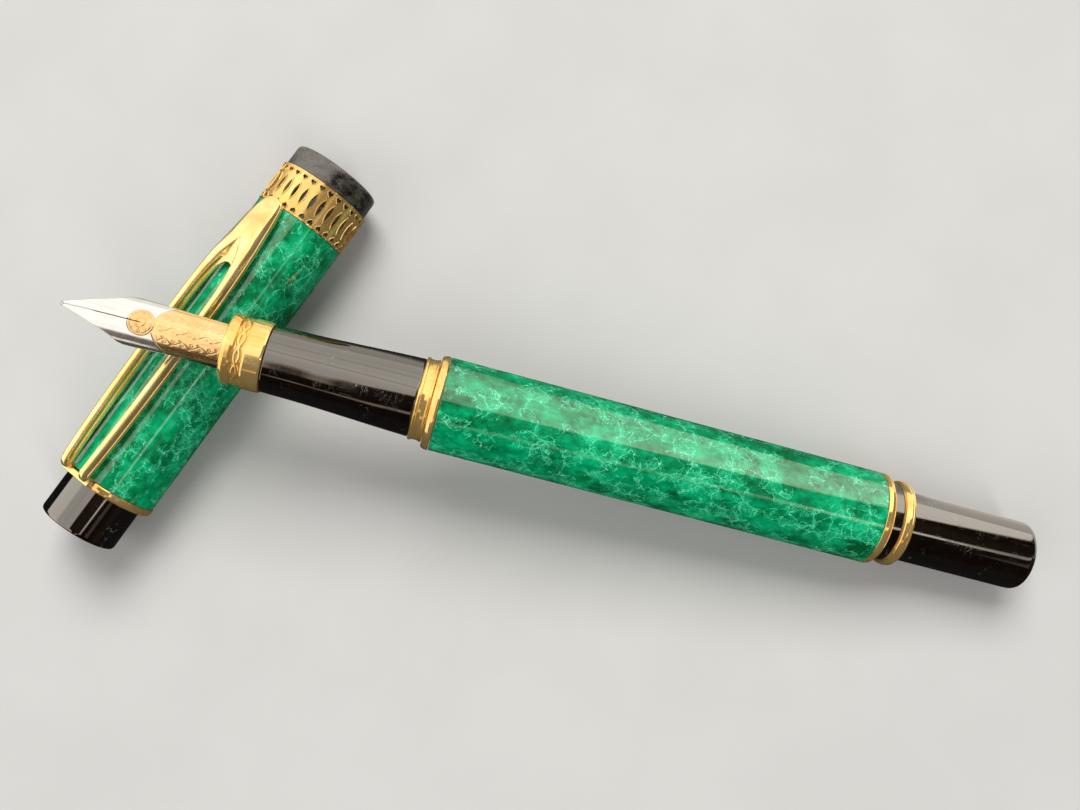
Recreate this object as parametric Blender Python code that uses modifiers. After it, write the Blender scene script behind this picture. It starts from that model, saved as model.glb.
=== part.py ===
"""Fountain pen laid across its own cap.

The cap lies on its side along +Y with its mouth towards +Y.  The pen lies
across it, nib over the clip, and its tail end rests on the same floor.
Every turned piece is modelled on an axis of its own: z_local runs towards
the nib on the pen and towards the mouth on the cap.  Metres, +Z up.
"""

from math import asin, cos, pi, radians, sin, sqrt

import bmesh
import bpy
from mathutils import Matrix, Vector

MM = 0.001

# ---------------------------------------------------------------- arrangement
ORIGIN_X = -45.61          # datum (floor under the cap's band rim) from the row origin
ORIGIN_Y = 19.03
CAP_REST_R = 6.39          # the pierced band is what the cap rests on
TAIL_X, TAIL_Y = 102.64, 12.07   # centre of the tail's end face, from the datum
PEN_PLAN = radians(20.42)  # pen's heading in plan, from +X
PEN_TILT = radians(6.80)   # nib end raised
CLIP_ROLL = radians(18.5)  # clip turned off the top of the cap, towards -X

# ------------------------------------------------------------------ pen (mm)
TAIL_R_END, TAIL_R_FACE, TAIL_R_ROOT = 4.45, 4.00, 4.52
TAIL_LEN = 17.19
RING_B = (17.21, 18.57)
SPACER = (18.60, 19.85)
RING_A = (19.88, 21.06)
RING_A_R, RING_B_R, SPACER_R = 5.90, 5.55, 5.10
BARREL = (21.09, 77.93)
BARREL_R_TAIL, BARREL_R_MOUTH, BARREL_BORE = 5.90, 5.93, 5.18
BARREL_END_WALL = 0.92
BARREL_RING = (77.97, 78.97)
BARREL_RING_R = 5.95
CLUTCH = (79.02, 80.76)
CLUTCH_R = 5.20
SECTION = (80.79, 99.56)
SECTION_R_REAR, SECTION_R_FRONT = 4.96, 4.20
FRONT_RING = (99.58, 104.60)
FRONT_R = 4.42
FRONT_BORE = 3.45
THREAD = (70.50, 79.00)
THREAD_R, THREAD_NECK_R, THREAD_BORE = 4.60, 4.12, 3.78
THREAD_PITCH, THREAD_TURNS = 0.9, 6.0
NIPPLE_TIP, NIPPLE_FLANGE = 78.20, (84.00, 85.90)
NIPPLE_R, NIPPLE_BORE = 1.60, 0.80
CONV_SLEEVE = (76.00, 83.50)
CONV_TUBE = (49.10, 81.90)
CONV_TUBE_R, CONV_BORE = 3.30, 2.60
CONV_BAND = (44.60, 49.05)
CONV_KNOB = (28.60, 44.50)
KNOB_BORE = 1.45
PISTON = (72.50, 76.60)
ROD = (43.60, 72.45)
ROD_R = 1.00

# nib and feed: (station, half width, top height, arc radius)
NIB_STATIONS = [
    (97.0, 2.55, 3.34, 3.34), (100.0, 2.58, 3.34, 3.34), (104.6, 2.62, 3.34, 3.34),
    (107.0, 2.70, 3.32, 3.36), (110.0, 2.80, 3.27, 3.40), (113.0, 2.88, 3.18, 3.44),
    (115.4, 2.94, 3.06, 3.46), (116.3, 2.92, 3.00, 3.46), (116.9, 2.66, 2.95, 3.46),
    (117.5, 2.22, 2.89, 3.46), (118.4, 1.86, 2.80, 3.46), (119.6, 1.50, 2.66, 3.46),
    (121.0, 1.14, 2.46, 3.46), (122.4, 0.82, 2.20, 3.46), (123.4, 0.62, 1.98, 3.46),
    (124.0, 0.44, 1.82, 3.46), (124.25, 0.30, 1.76, 3.46),
]
NIB_THICK = 0.35
SLIT = (114.5, 125.0)
SLIT_W = 0.12
FEED_STATIONS = [  # (station, half width, bottom height)
    (88.3, 2.86, -2.86), (104.6, 2.86, -2.86), (107.0, 2.78, -2.60), (109.0, 2.70, -2.25),
    (110.4, 2.64, -2.02), (112.5, 2.50, -1.50), (114.5, 2.28, -0.85), (116.5, 1.90, -0.05),
    (118.2, 1.45, 0.75), (119.6, 1.05, 1.40), (120.4, 0.75, 1.72),
]

# ------------------------------------------------------------------ cap (mm)
BAND = (-5.68, -0.02)
BAND_R, BAND_BORE = 6.39, 6.00
LIP = (0.0, 3.00)
LIP_R = 6.10
MOUTH_BORE = 5.28
SLEEVE_R, SPIGOT_R = 5.95, 5.66
SPIGOT_END = -9.2
TUBE = (-47.09, -5.71)
TUBE_R_MOUTH, TUBE_R_CROWN, TUBE_BORE = 6.30, 6.27, 5.70
TUBE_END_WALL = 1.15
LINER = (-45.90, -9.25)
LINER_R, LINER_BORE = 5.64, 5.02
CROWN = (-48.16, -47.12)
CROWN_R = 6.34
FINIAL = (-54.14, -48.19)
FINIAL_R, FINIAL_FACE_R = 5.12, 4.85

# clip, in its own frame: along the cap, across it, and out from the cap's axis
CLIP_ARM_R = 0.75
CLIP_PATH = [  # (along, half spread of the two arms, height of the arm's centre, thickness factor)
    (-47.63, 1.64, 5.10, 0.56), (-47.63, 1.64, 6.20, 0.56), (-47.56, 1.66, 6.84, 0.62),
    (-47.15, 1.70, 7.34, 0.80), (-46.30, 1.77, 7.56, 0.95), (-45.00, 1.86, 7.60, 1.0),
    (-41.0, 2.05, 7.60, 1.0), (-35.0, 2.22, 7.60, 1.0), (-28.0, 2.30, 7.60, 1.0),
    (-21.0, 2.28, 7.60, 1.0), (-17.5, 2.20, 7.60, 1.0), (-14.6, 2.05, 7.58, 1.0),
]
CLIP_TONGUE = [  # (along, half width, top height, underside height)
    (-16.2, 2.78, 8.02, 7.00), (-14.6, 2.74, 8.22, 6.95), (-11.8, 2.52, 8.25, 6.86),
    (-9.6, 2.26, 8.12, 6.80), (-7.6, 1.98, 7.86, 6.74), (-6.2, 1.70, 7.60, 6.70),
    (-5.5, 1.40, 7.38, 6.74), (-5.1, 0.95, 7.16, 6.84),
]
CLIP_ROOT = (-48.04, -47.22)   # flat tab under the crown ring
CLIP_HINGE_ALONG, CLIP_HINGE_OUT = -47.60, 6.20

SCREW_R, SCREW_HEAD_R = 1.00, 2.20

SEG = 40      # facets of the visible turned pieces
SEG_IN = 28   # facets of the inner ones


# ------------------------------------------------------------------- helpers
def clear_scene():
    for obj in list(bpy.data.objects):
        bpy.data.objects.remove(obj, do_unlink=True)


def collection(name):
    made = bpy.data.collections.new(name)
    bpy.context.scene.collection.children.link(made)
    return made


def material(name, colour, metallic, roughness):
    made = bpy.data.materials.new(name)
    made.use_nodes = True
    shader = made.node_tree.nodes["Principled BSDF"]
    shader.inputs["Base Color"].default_value = (*colour, 1.0)
    shader.inputs["Metallic"].default_value = metallic
    shader.inputs["Roughness"].default_value = roughness
    made.diffuse_color = (*colour, 1.0)
    return made


def link(obj, where, parent, mat):
    where.objects.link(obj)
    if parent is not None:
        obj.parent = parent
    if mat is not None:
        obj.data.materials.append(mat)
    return obj


def turned(name, profile, mat, parent, where, segments=SEG, loop=False):
    """A turned piece: profile is (radius, height) in mm, down the outer side."""
    mesh = bpy.data.meshes.new(name)
    points = [(r * MM, 0.0, z * MM) for r, z in profile]
    edges = [(i, i + 1) for i in range(len(points) - 1)]
    if loop:
        edges.append((len(points) - 1, 0))
    mesh.from_pydata(points, edges, [])
    obj = link(bpy.data.objects.new(name, mesh), where, parent, mat)
    screw = obj.modifiers.new("turn", "SCREW")
    screw.axis = "Z"
    screw.angle = 2 * pi
    screw.screw_offset = 0.0
    screw.steps = segments
    screw.render_steps = segments
    screw.use_merge_vertices = True
    screw.merge_threshold = 0.000002
    screw.use_smooth_shade = True
    return obj


def tube(name, outer, inner, low, high, mat, parent, where, segments=SEG):
    """A plain ring or pipe between two heights."""
    return turned(
        name,
        [(outer, high), (outer, low), (inner, low), (inner, high)],
        mat, parent, where, segments, loop=True,
    )


def loft(name, rings, mat, parent, where):
    """Closed skin through sections that each have the same number of points (mm)."""
    bm = bmesh.new()
    rows = [[bm.verts.new(Vector(p) * MM) for p in ring] for ring in rings]
    count = len(rows[0])
    for a, b in zip(rows, rows[1:]):
        for i in range(count):
            j = (i + 1) % count
            bm.faces.new((a[i], a[j], b[j], b[i]))
    bm.faces.new(rows[0][::-1])
    bm.faces.new(rows[-1])
    bmesh.ops.recalc_face_normals(bm, faces=bm.faces)
    mesh = bpy.data.meshes.new(name)
    bm.to_mesh(mesh)
    bm.free()
    return link(bpy.data.objects.new(name, mesh), where, parent, mat)


def block(name, low, high, where, parent, mat=None):
    """A box from its two corners in the parent's frame (mm)."""
    bm = bmesh.new()
    bmesh.ops.create_cube(bm, size=1.0)
    size = [(b - a) * MM for a, b in zip(low, high)]
    mid = [(b + a) / 2 * MM for a, b in zip(low, high)]
    bmesh.ops.scale(bm, vec=size, verts=bm.verts)
    bmesh.ops.translate(bm, vec=mid, verts=bm.verts)
    mesh = bpy.data.meshes.new(name)
    bm.to_mesh(mesh)
    bm.free()
    return link(bpy.data.objects.new(name, mesh), where, parent, mat)


def helper(obj):
    obj.hide_render = True
    obj.display_type = "WIRE"
    return obj


def boolean(obj, other, operation):
    mod = obj.modifiers.new(operation.lower(), "BOOLEAN")
    mod.operation = operation
    mod.solver = "EXACT"
    mod.object = other
    return mod


def mesh_from_curve(curve_obj, name, where, parent, mat):
    """The curve's evaluated body as a mesh, its end caps welded on."""
    bpy.context.view_layer.update()
    graph = bpy.context.evaluated_depsgraph_get()
    mesh = bpy.data.meshes.new_from_object(curve_obj.evaluated_get(graph))
    bm = bmesh.new()
    bm.from_mesh(mesh)
    bmesh.ops.remove_doubles(bm, verts=bm.verts, dist=0.000002)
    bmesh.ops.recalc_face_normals(bm, faces=bm.faces)
    bm.to_mesh(mesh)
    bm.free()
    bpy.data.objects.remove(curve_obj, do_unlink=True)
    mesh.materials.clear()
    obj = bpy.data.objects.new(name, mesh)
    return link(obj, where, parent, mat)


def empty(name, matrix, where):
    obj = bpy.data.objects.new(name, None)
    obj.empty_display_size = 0.01
    where.objects.link(obj)
    obj.matrix_world = matrix
    return obj


def frame_of(origin, z_axis, y_axis):
    """World matrix with the given origin (mm), local z and local y."""
    z = Vector(z_axis).normalized()
    y = Vector(y_axis)
    y = (y - z * y.dot(z)).normalized()
    x = y.cross(z)
    m = Matrix((x, y, z)).transposed().to_4x4()
    m.translation = Vector(origin) * MM
    return m


def along(stations, s, column):
    """Straight interpolation of one column of a station table."""
    if s <= stations[0][0]:
        return stations[0][column]
    for a, b in zip(stations, stations[1:]):
        if s <= b[0]:
            k = (s - a[0]) / (b[0] - a[0])
            return a[column] + k * (b[column] - a[column])
    return stations[-1][column]


# ---------------------------------------------------------------------- build
def materials():
    return {
        "gold": material("gold_plate", (0.83, 0.58, 0.22), 1.0, 0.18),
        "nib_gold": material("nib_gold", (0.86, 0.66, 0.34), 1.0, 0.22),
        "lacquer": material("green_lacquer", (0.01, 0.20, 0.09), 0.0, 0.12),
        "resin": material("black_resin", (0.008, 0.007, 0.007), 0.0, 0.12),
        "feed": material("black_feed", (0.01, 0.01, 0.01), 0.0, 0.45),
        "brass": material("inner_brass", (0.60, 0.43, 0.17), 1.0, 0.35),
        "liner": material("liner_plastic", (0.02, 0.02, 0.02), 0.0, 0.5),
        "steel": material("screw_steel", (0.45, 0.45, 0.46), 1.0, 0.35),
        "clear": material("clear_tube", (0.75, 0.78, 0.80), 0.0, 0.08),
        "seal": material("piston_seal", (0.03, 0.03, 0.035), 0.0, 0.55),
        "knob": material("converter_plastic", (0.015, 0.015, 0.016), 0.0, 0.35),
        "nickel": material("converter_metal", (0.62, 0.62, 0.63), 1.0, 0.25),
    }


def build_pen(parts, cutters, mats):
    u = Vector((-cos(PEN_PLAN) * cos(PEN_TILT), -sin(PEN_PLAN) * cos(PEN_TILT), sin(PEN_TILT)))
    tail_z = TAIL_R_END * cos(PEN_TILT)
    origin = (TAIL_X + ORIGIN_X, TAIL_Y + ORIGIN_Y, tail_z)
    pen = empty("pen_axis", frame_of(origin, u, (0, 0, 1)), parts)
    turn = empty("barrel_axis", pen.matrix_world.copy(), parts)

    # tail end piece with the spigot that carries the two rings and the spacer
    turned("tail_end", [
        (0.0, 9.5), (1.04, 10.1), (1.04, 20.95), (2.50, 20.95), (2.50, TAIL_LEN),
        (TAIL_R_ROOT, TAIL_LEN), (TAIL_R_END, 0.75), (TAIL_R_END - 0.07, 0.36),
        (TAIL_R_FACE + 0.20, 0.08), (TAIL_R_FACE, 0.0), (0.0, 0.0),
    ], mats["resin"], turn, parts)
    a, b = RING_B
    turned("tail_ring_rear", [
        (2.55, b), (RING_B_R - 0.35, b), (RING_B_R - 0.08, b - 0.25), (RING_B_R, (a + b) / 2),
        (RING_B_R - 0.08, a + 0.25), (RING_B_R - 0.35, a), (2.55, a),
    ], mats["gold"], turn, parts, loop=True)
    tube("tail_spacer", SPACER_R, 2.55, SPACER[0], SPACER[1], mats["resin"], turn, parts)
    a, b = RING_A
    turned("tail_ring_front", [
        (2.55, b), (RING_A_R, b), (RING_A_R, a + 0.3), (RING_A_R - 0.22, a), (2.55, a),
    ], mats["gold"], turn, parts, loop=True)

    # barrel: open at the mouth, end wall with a hole for the screw
    low, high = BARREL
    turned("barrel_tube", [
        (BARREL_R_MOUTH, high), ((BARREL_R_TAIL + BARREL_R_MOUTH) / 2, (low + high) / 2),
        (BARREL_R_TAIL, low), (1.20, low), (1.20, low + BARREL_END_WALL),
        (BARREL_BORE, low + BARREL_END_WALL), (BARREL_BORE, high),
    ], mats["lacquer"], turn, parts, loop=True)
    tube("barrel_bush", BARREL_BORE - 0.03, THREAD_R + 0.06, 69.0, 77.90, mats["brass"], turn, parts, SEG_IN)
    floor = low + BARREL_END_WALL + 0.02
    turned("tail_screw", [
        (0.0, floor + 0.85), (SCREW_HEAD_R, floor + 0.85), (SCREW_HEAD_R, floor),
        (SCREW_R, floor), (SCREW_R, 11.2), (0.0, 10.7),
    ], mats["steel"], turn, parts, SEG_IN)

    # step ring at the barrel's mouth
    a, b = BARREL_RING
    turned("barrel_ring", [
        (THREAD_R + 0.08, b), (BARREL_RING_R - 0.12, b), (BARREL_RING_R, b - 0.12),
        (BARREL_RING_R, a), (THREAD_R + 0.08, a),
    ], mats["gold"], turn, parts, loop=True)

    # ring that the cap snaps onto: lip, shallow hollow face, rear lip
    a, b = CLUTCH
    turned("clutch_ring", [
        (THREAD_NECK_R + 0.04, b), (CLUTCH_R - 0.12, b), (CLUTCH_R, b - 0.12), (CLUTCH_R, b - 0.42),
        (CLUTCH_R - 0.16, b - 0.55), (CLUTCH_R - 0.16, a + 0.45), (CLUTCH_R, a + 0.30),
        (CLUTCH_R, a), (THREAD_NECK_R + 0.04, a),
    ], mats["gold"], pen, parts, loop=True)

    # threaded bush of the section; its shoulder holds the clutch ring
    turned("section_thread", [
        (THREAD_NECK_R, 85.85), (THREAD_NECK_R, THREAD[1]), (THREAD_R, THREAD[1]),
        (THREAD_R, THREAD[0] + 0.3), (THREAD_R - 0.25, THREAD[0]), (THREAD_BORE, THREAD[0]),
        (THREAD_BORE, 85.85),
    ], mats["brass"], pen, parts, SEG_IN, loop=True)
    a, b = NIPPLE_FLANGE
    turned("ink_nipple", [
        (THREAD_BORE - 0.03, b), (THREAD_BORE - 0.03, a), (NIPPLE_R, a),
        (NIPPLE_R - 0.15, NIPPLE_TIP), (NIPPLE_BORE, NIPPLE_TIP), (NIPPLE_BORE, b),
    ], mats["knob"], pen, parts, SEG_IN, loop=True)

    # grip section: bored for the feed in front and for the bush behind
    low, high = SECTION
    turned("grip_section", [
        (3.92, high + 2.2), (3.92, high), (SECTION_R_FRONT - 0.10, high),
        (SECTION_R_FRONT, high - 0.15), (4.30, 95.0), (4.52, 90.0), (4.80, 84.5),
        (SECTION_R_REAR, low + 0.25), (SECTION_R_REAR - 0.12, low),
        (THREAD_NECK_R + 0.03, low), (THREAD_NECK_R + 0.03, 85.95), (FRONT_BORE, 86.6),
        (FRONT_BORE, high + 2.2),
    ], mats["resin"], pen, parts, loop=True)

    # front ring: wide band, waist and rounded collar
    a, b = FRONT_RING
    turned("front_ring", [
        (FRONT_BORE, b), (FRONT_R - 0.42, b), (FRONT_R - 0.14, b - 0.16), (FRONT_R, b - 0.55),
        (FRONT_R, b - 0.95), (FRONT_R - 0.10, b - 1.38), (FRONT_R - 0.34, b - 1.50),
        (FRONT_R - 0.36, b - 2.30), (FRONT_R - 0.08, b - 2.52), (FRONT_R, b - 2.70),
        (FRONT_R, a + 0.12), (FRONT_R - 0.10, a), (3.96, a), (3.96, a + 2.26), (FRONT_BORE, a + 2.26),
    ], mats["gold"], pen, parts, loop=True)

    # feed: follows the nib's underside above, tapers away below
    rings = []
    for s, half, bottom in FEED_STATIONS:
        arc = along(NIB_STATIONS, s, 3)
        centre = along(NIB_STATIONS, s, 2) - arc
        rf = arc - NIB_THICK - 0.10
        side = centre + sqrt(rf * rf - half * half)
        ring = []
        for i in range(20):
            ang = 2 * pi * i / 20
            x = half * cos(ang)
            if i <= 10:
                y = centre + sqrt(max(rf * rf - x * x, 0.0))
            else:
                y = side + (bottom - side) * abs(sin(ang))
            ring.append((x, y, s))
        rings.append(ring)
    loft("feed", rings, mats["feed"], pen, parts)

    # nib: a bent plate, thickened inwards and slit from the vent to the tip
    across = 12
    bm = bmesh.new()
    bmesh.ops.create_grid(bm, x_segments=across, y_segments=len(NIB_STATIONS) - 1, size=1.0)
    for v in bm.verts:
        row = round((v.co.y + 1) / 2 * (len(NIB_STATIONS) - 1))
        s, half, top, arc = NIB_STATIONS[row]
        half_angle = asin(half / arc)
        ang = v.co.x * half_angle
        v.co = Vector((arc * sin(ang), top - arc + arc * cos(ang), s)) * MM
    bmesh.ops.recalc_face_normals(bm, faces=bm.faces)
    if sum((f.normal.y for f in bm.faces)) < 0:
        bmesh.ops.reverse_faces(bm, faces=bm.faces)
    mesh = bpy.data.meshes.new("nib")
    bm.to_mesh(mesh)
    bm.free()
    nib = link(bpy.data.objects.new("nib", mesh), parts, pen, mats["nib_gold"])
    thick = nib.modifiers.new("plate", "SOLIDIFY")
    thick.thickness = NIB_THICK * MM
    thick.offset = -1.0
    thick.use_even_offset = True
    slit = helper(block("nib_slit_cutter", (-SLIT_W / 2, 0.5, SLIT[0]), (SLIT_W / 2, 4.5, SLIT[1]), cutters, pen))
    boolean(nib, slit, "DIFFERENCE")

    # converter
    tube_gap = 0.05
    turned("converter_sleeve", [
        (3.66, CONV_SLEEVE[1]), (3.70, CONV_SLEEVE[0]), (CONV_TUBE_R + tube_gap, CONV_SLEEVE[0]),
        (CONV_TUBE_R + tube_gap, CONV_TUBE[1] + 0.1), (NIPPLE_R + 0.10, CONV_TUBE[1] + 0.1),
        (NIPPLE_R + 0.10, CONV_SLEEVE[1]),
    ], mats["nickel"], pen, parts, SEG_IN, loop=True)
    tube("converter_tube", CONV_TUBE_R, CONV_BORE, CONV_TUBE[0], CONV_TUBE[1], mats["clear"], pen, parts, SEG_IN)
    turned("converter_band", [
        (3.55, CONV_BAND[1]), (3.62, CONV_BAND[0]), (ROD_R + 0.06, CONV_BAND[0]),
        (ROD_R + 0.06, CONV_BAND[1]),
    ], mats["nickel"], pen, parts, SEG_IN, loop=True)
    turned("converter_knob", [
        (0.0, CONV_KNOB[0] + 1.3), (KNOB_BORE, CONV_KNOB[0] + 1.5), (KNOB_BORE, CONV_KNOB[1]),
        (3.45, CONV_KNOB[1]), (3.45, CONV_KNOB[0] + 0.6), (2.95, CONV_KNOB[0]), (0.0, CONV_KNOB[0]),
    ], mats["knob"], pen, parts, SEG_IN)
    turned("converter_piston", [
        (0.0, PISTON[1]), (CONV_BORE - 0.35, PISTON[1]), (CONV_BORE - 0.05, PISTON[1] - 0.4),
        (CONV_BORE - 0.05, PISTON[0] + 0.4), (CONV_BORE - 0.35, PISTON[0]), (0.0, PISTON[0]),
    ], mats["seal"], pen, parts, SEG_IN)
    turned("converter_rod", [
        (0.0, ROD[1]), (ROD_R, ROD[1]), (ROD_R, ROD[0]), (0.0, ROD[0]),
    ], mats["nickel"], pen, parts, 20)


def build_cap(parts, cutters, mats):
    origin = (ORIGIN_X, ORIGIN_Y, CAP_REST_R)
    cap = empty("cap_axis", frame_of(origin, (0, 1, 0), (0, 0, 1)), parts)

    # black mouth piece: lip, step under the band, spigot inside the tube
    turned("mouth_sleeve", [
        (MOUTH_BORE + 0.25, LIP[1]), (LIP_R - 0.38, LIP[1]), (LIP_R - 0.12, LIP[1] - 0.14),
        (LIP_R, LIP[1] - 0.45), (LIP_R, LIP[0]), (SLEEVE_R, LIP[0]), (SLEEVE_R, BAND[0]),
        (SPIGOT_R, BAND[0]), (SPIGOT_R, SPIGOT_END), (MOUTH_BORE, SPIGOT_END),
        (MOUTH_BORE, LIP[1] - 0.2),
    ], mats["resin"], cap, parts, loop=True)
    a, b = BAND
    tube("cap_band", BAND_R, BAND_BORE, a, b, mats["gold"], cap, parts)
    low, high = TUBE
    turned("cap_tube", [
        (TUBE_R_MOUTH, high), (TUBE_R_CROWN, low), (1.20, low), (1.20, low + TUBE_END_WALL),
        (TUBE_BORE, low + TUBE_END_WALL), (TUBE_BORE, high),
    ], mats["lacquer"], cap, parts, loop=True)
    low, high = LINER
    turned("cap_liner", [
        (LINER_R, high), (LINER_R, low), (1.20, low), (1.20, low + 0.9),
        (LINER_BORE, low + 0.9), (LINER_BORE, high),
    ], mats["liner"], cap, parts, SEG_IN, loop=True)

    # crown ring with the slot that the clip's root passes through
    a, b = CROWN
    crown = turned("crown_ring", [
        (1.20, b), (CROWN_R - 0.05, b), (CROWN_R, b - 0.15), (CROWN_R, a + 0.18),
        (CROWN_R - 0.2, a), (1.20, a),
    ], mats["gold"], cap, parts, loop=True)
    roll = empty("clip_axis", cap.matrix_world @ Matrix.Rotation(-CLIP_ROLL, 4, "Z"), parts)
    slot = helper(block("crown_slot_cutter", (-2.62, 2.1, a - 1), (2.62, 9.0, b + 1), cutters, roll))
    boolean(crown, slot, "DIFFERENCE")

    turned("finial", [
        (0.0, -52.0), (1.04, -51.6), (1.04, FINIAL[1]), (FINIAL_R, FINIAL[1]),
        (FINIAL_R, FINIAL[0] + 0.30), (FINIAL_R - 0.09, FINIAL[0] + 0.09),
        (FINIAL_FACE_R, FINIAL[0]), (0.0, FINIAL[0]),
    ], mats["resin"], cap, parts)
    floor = LINER[0] + 0.9 + 0.02
    turned("finial_screw", [
        (0.0, floor + 0.8), (SCREW_HEAD_R, floor + 0.8), (SCREW_HEAD_R, floor),
        (SCREW_R, floor), (SCREW_R, -50.9), (0.0, -51.3),
    ], mats["steel"], cap, parts, SEG_IN)

    # clip: two bars from a flat root tab, joined by a tongue over the mouth end
    bars = []
    for side in (-1, 1):
        data = bpy.data.curves.new("bar", "CURVE")
        data.dimensions = "3D"
        spline = data.splines.new("POLY")
        spline.points.add(len(CLIP_PATH) - 1)
        for point, (t, spread, out, thick) in zip(spline.points, CLIP_PATH):
            point.co = (side * spread * MM, out * MM, t * MM, 1.0)
            point.radius = thick
        data.bevel_depth = CLIP_ARM_R * MM
        data.bevel_resolution = 2
        data.use_fill_caps = True
        curve = bpy.data.objects.new("bar", data)
        cutters.objects.link(curve)
        name = "clip" if side < 0 else "clip_bar_guide"
        where = parts if side < 0 else cutters
        bars.append(mesh_from_curve(curve, name, where, roll, mats["gold"]))
    clip, second = bars
    helper(second)
    rings = []
    for t, half, top, under in CLIP_TONGUE:
        ring = []
        for i in range(12):
            ang = 2 * pi * i / 12
            x = half * cos(ang)
            lift = sin(ang)
            mid = under + 0.35 * (top - under)
            y = mid + (top - mid) * lift if lift >= 0 else mid + (mid - under) * max(lift * 1.6, -1.0)
            ring.append((x, y, t))
        rings.append(ring)
    tongue = helper(loft("clip_tongue_guide", rings, None, roll, cutters))
    a, b = CLIP_ROOT
    tab = helper(block("clip_root_guide", (-2.42, 2.3, a), (2.42, 6.75, b), cutters, roll))
    for other in (second, tongue, tab):
        boolean(clip, other, "UNION")
    offset = Vector((0, CLIP_HINGE_OUT, CLIP_HINGE_ALONG)) * MM
    clip.parent = empty("clip_hinge", roll.matrix_world @ Matrix.Translation(offset), parts)
    clip.location = -offset


def main():
    clear_scene()
    parts = collection("fountain_pen")
    cutters = collection("fountain_pen_cutters")
    mats = materials()
    build_pen(parts, cutters, mats)
    build_cap(parts, cutters, mats)
    for obj in parts.objects:
        if obj.type == "MESH" and not obj.modifiers:
            obj.data.shade_smooth()
            obj.data.set_sharp_from_angle(angle=radians(35))


main()
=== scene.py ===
"""Fountain pen laid across its cap: the looks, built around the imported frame."""

from math import acos, asin, atan2, cos, degrees, pi, radians, sin, sqrt, tan

import bmesh
import bpy
import numpy as np
from mathutils import Matrix, Vector
from mathutils.geometry import delaunay_2d_cdt


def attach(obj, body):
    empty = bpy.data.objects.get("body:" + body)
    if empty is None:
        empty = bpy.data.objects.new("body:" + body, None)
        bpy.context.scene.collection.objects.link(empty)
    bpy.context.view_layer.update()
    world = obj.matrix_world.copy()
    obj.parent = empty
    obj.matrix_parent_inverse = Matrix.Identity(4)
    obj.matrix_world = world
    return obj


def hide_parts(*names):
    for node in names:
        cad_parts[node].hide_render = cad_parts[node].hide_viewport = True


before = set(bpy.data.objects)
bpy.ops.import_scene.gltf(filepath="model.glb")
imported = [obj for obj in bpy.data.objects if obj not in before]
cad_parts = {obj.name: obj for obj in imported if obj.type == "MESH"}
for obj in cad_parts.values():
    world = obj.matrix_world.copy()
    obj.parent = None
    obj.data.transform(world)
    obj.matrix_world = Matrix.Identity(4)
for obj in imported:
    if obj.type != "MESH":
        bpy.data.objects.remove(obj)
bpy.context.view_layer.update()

MM = 0.001
PIECES = bpy.data.collections.new("looks")
bpy.context.scene.collection.children.link(PIECES)


# ------------------------------------------------------------------ local axes
def axis_frame(origin, along, up):
    z = Vector(along).normalized()
    y = Vector(up)
    y = (y - z * y.dot(z)).normalized()
    x = y.cross(z)
    m = Matrix((x, y, z)).transposed().to_4x4()
    m.translation = Vector(origin) * MM
    return m


PEN_PLAN, PEN_TILT = radians(20.42), radians(6.80)
PEN_U = (-cos(PEN_PLAN) * cos(PEN_TILT), -sin(PEN_PLAN) * cos(PEN_TILT), sin(PEN_TILT))
PEN = axis_frame((57.03, 31.10, 4.4187), PEN_U, (0, 0, 1))
CAP = axis_frame((-45.61, 19.03, 6.39), (0, 1, 0), (0, 0, 1))
CLIP = CAP @ Matrix.Rotation(-radians(18.5), 4, "Z")


# ----------------------------------------------------------------- mesh making
def smooth_step(a, b, x):
    k = np.clip((x - a) / (b - a), 0.0, 1.0)
    return k * k * (3 - 2 * k)


def curve_of(table, column):
    """Monotone cubic through one column of a station table, as a function."""
    x = np.array([row[0] for row in table], float)
    y = np.array([row[column] for row in table], float)
    h = np.diff(x)
    d = np.diff(y) / h
    m = np.zeros(len(x))
    m[0], m[-1] = d[0], d[-1]
    for i in range(1, len(x) - 1):
        if d[i - 1] * d[i] > 0:
            w1, w2 = 2 * h[i] + h[i - 1], h[i] + 2 * h[i - 1]
            m[i] = (w1 + w2) / (w1 / d[i - 1] + w2 / d[i])

    def at(v):
        v = np.clip(np.asarray(v, float), x[0], x[-1])
        i = np.clip(np.searchsorted(x, v, side="right") - 1, 0, len(x) - 2)
        t = (v - x[i]) / h[i]
        return (
            (1 + 2 * t) * (1 - t) ** 2 * y[i]
            + t * (1 - t) ** 2 * h[i] * m[i]
            + t * t * (3 - 2 * t) * y[i + 1]
            + t * t * (t - 1) * h[i] * m[i + 1]
        )

    return at


def volume_of(verts, faces):
    v = np.asarray(verts, float)
    total = 0.0
    for f in faces:
        for i in range(1, len(f) - 1):
            total += np.dot(v[f[0]], np.cross(v[f[i]], v[f[i + 1]]))
    return total


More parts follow.
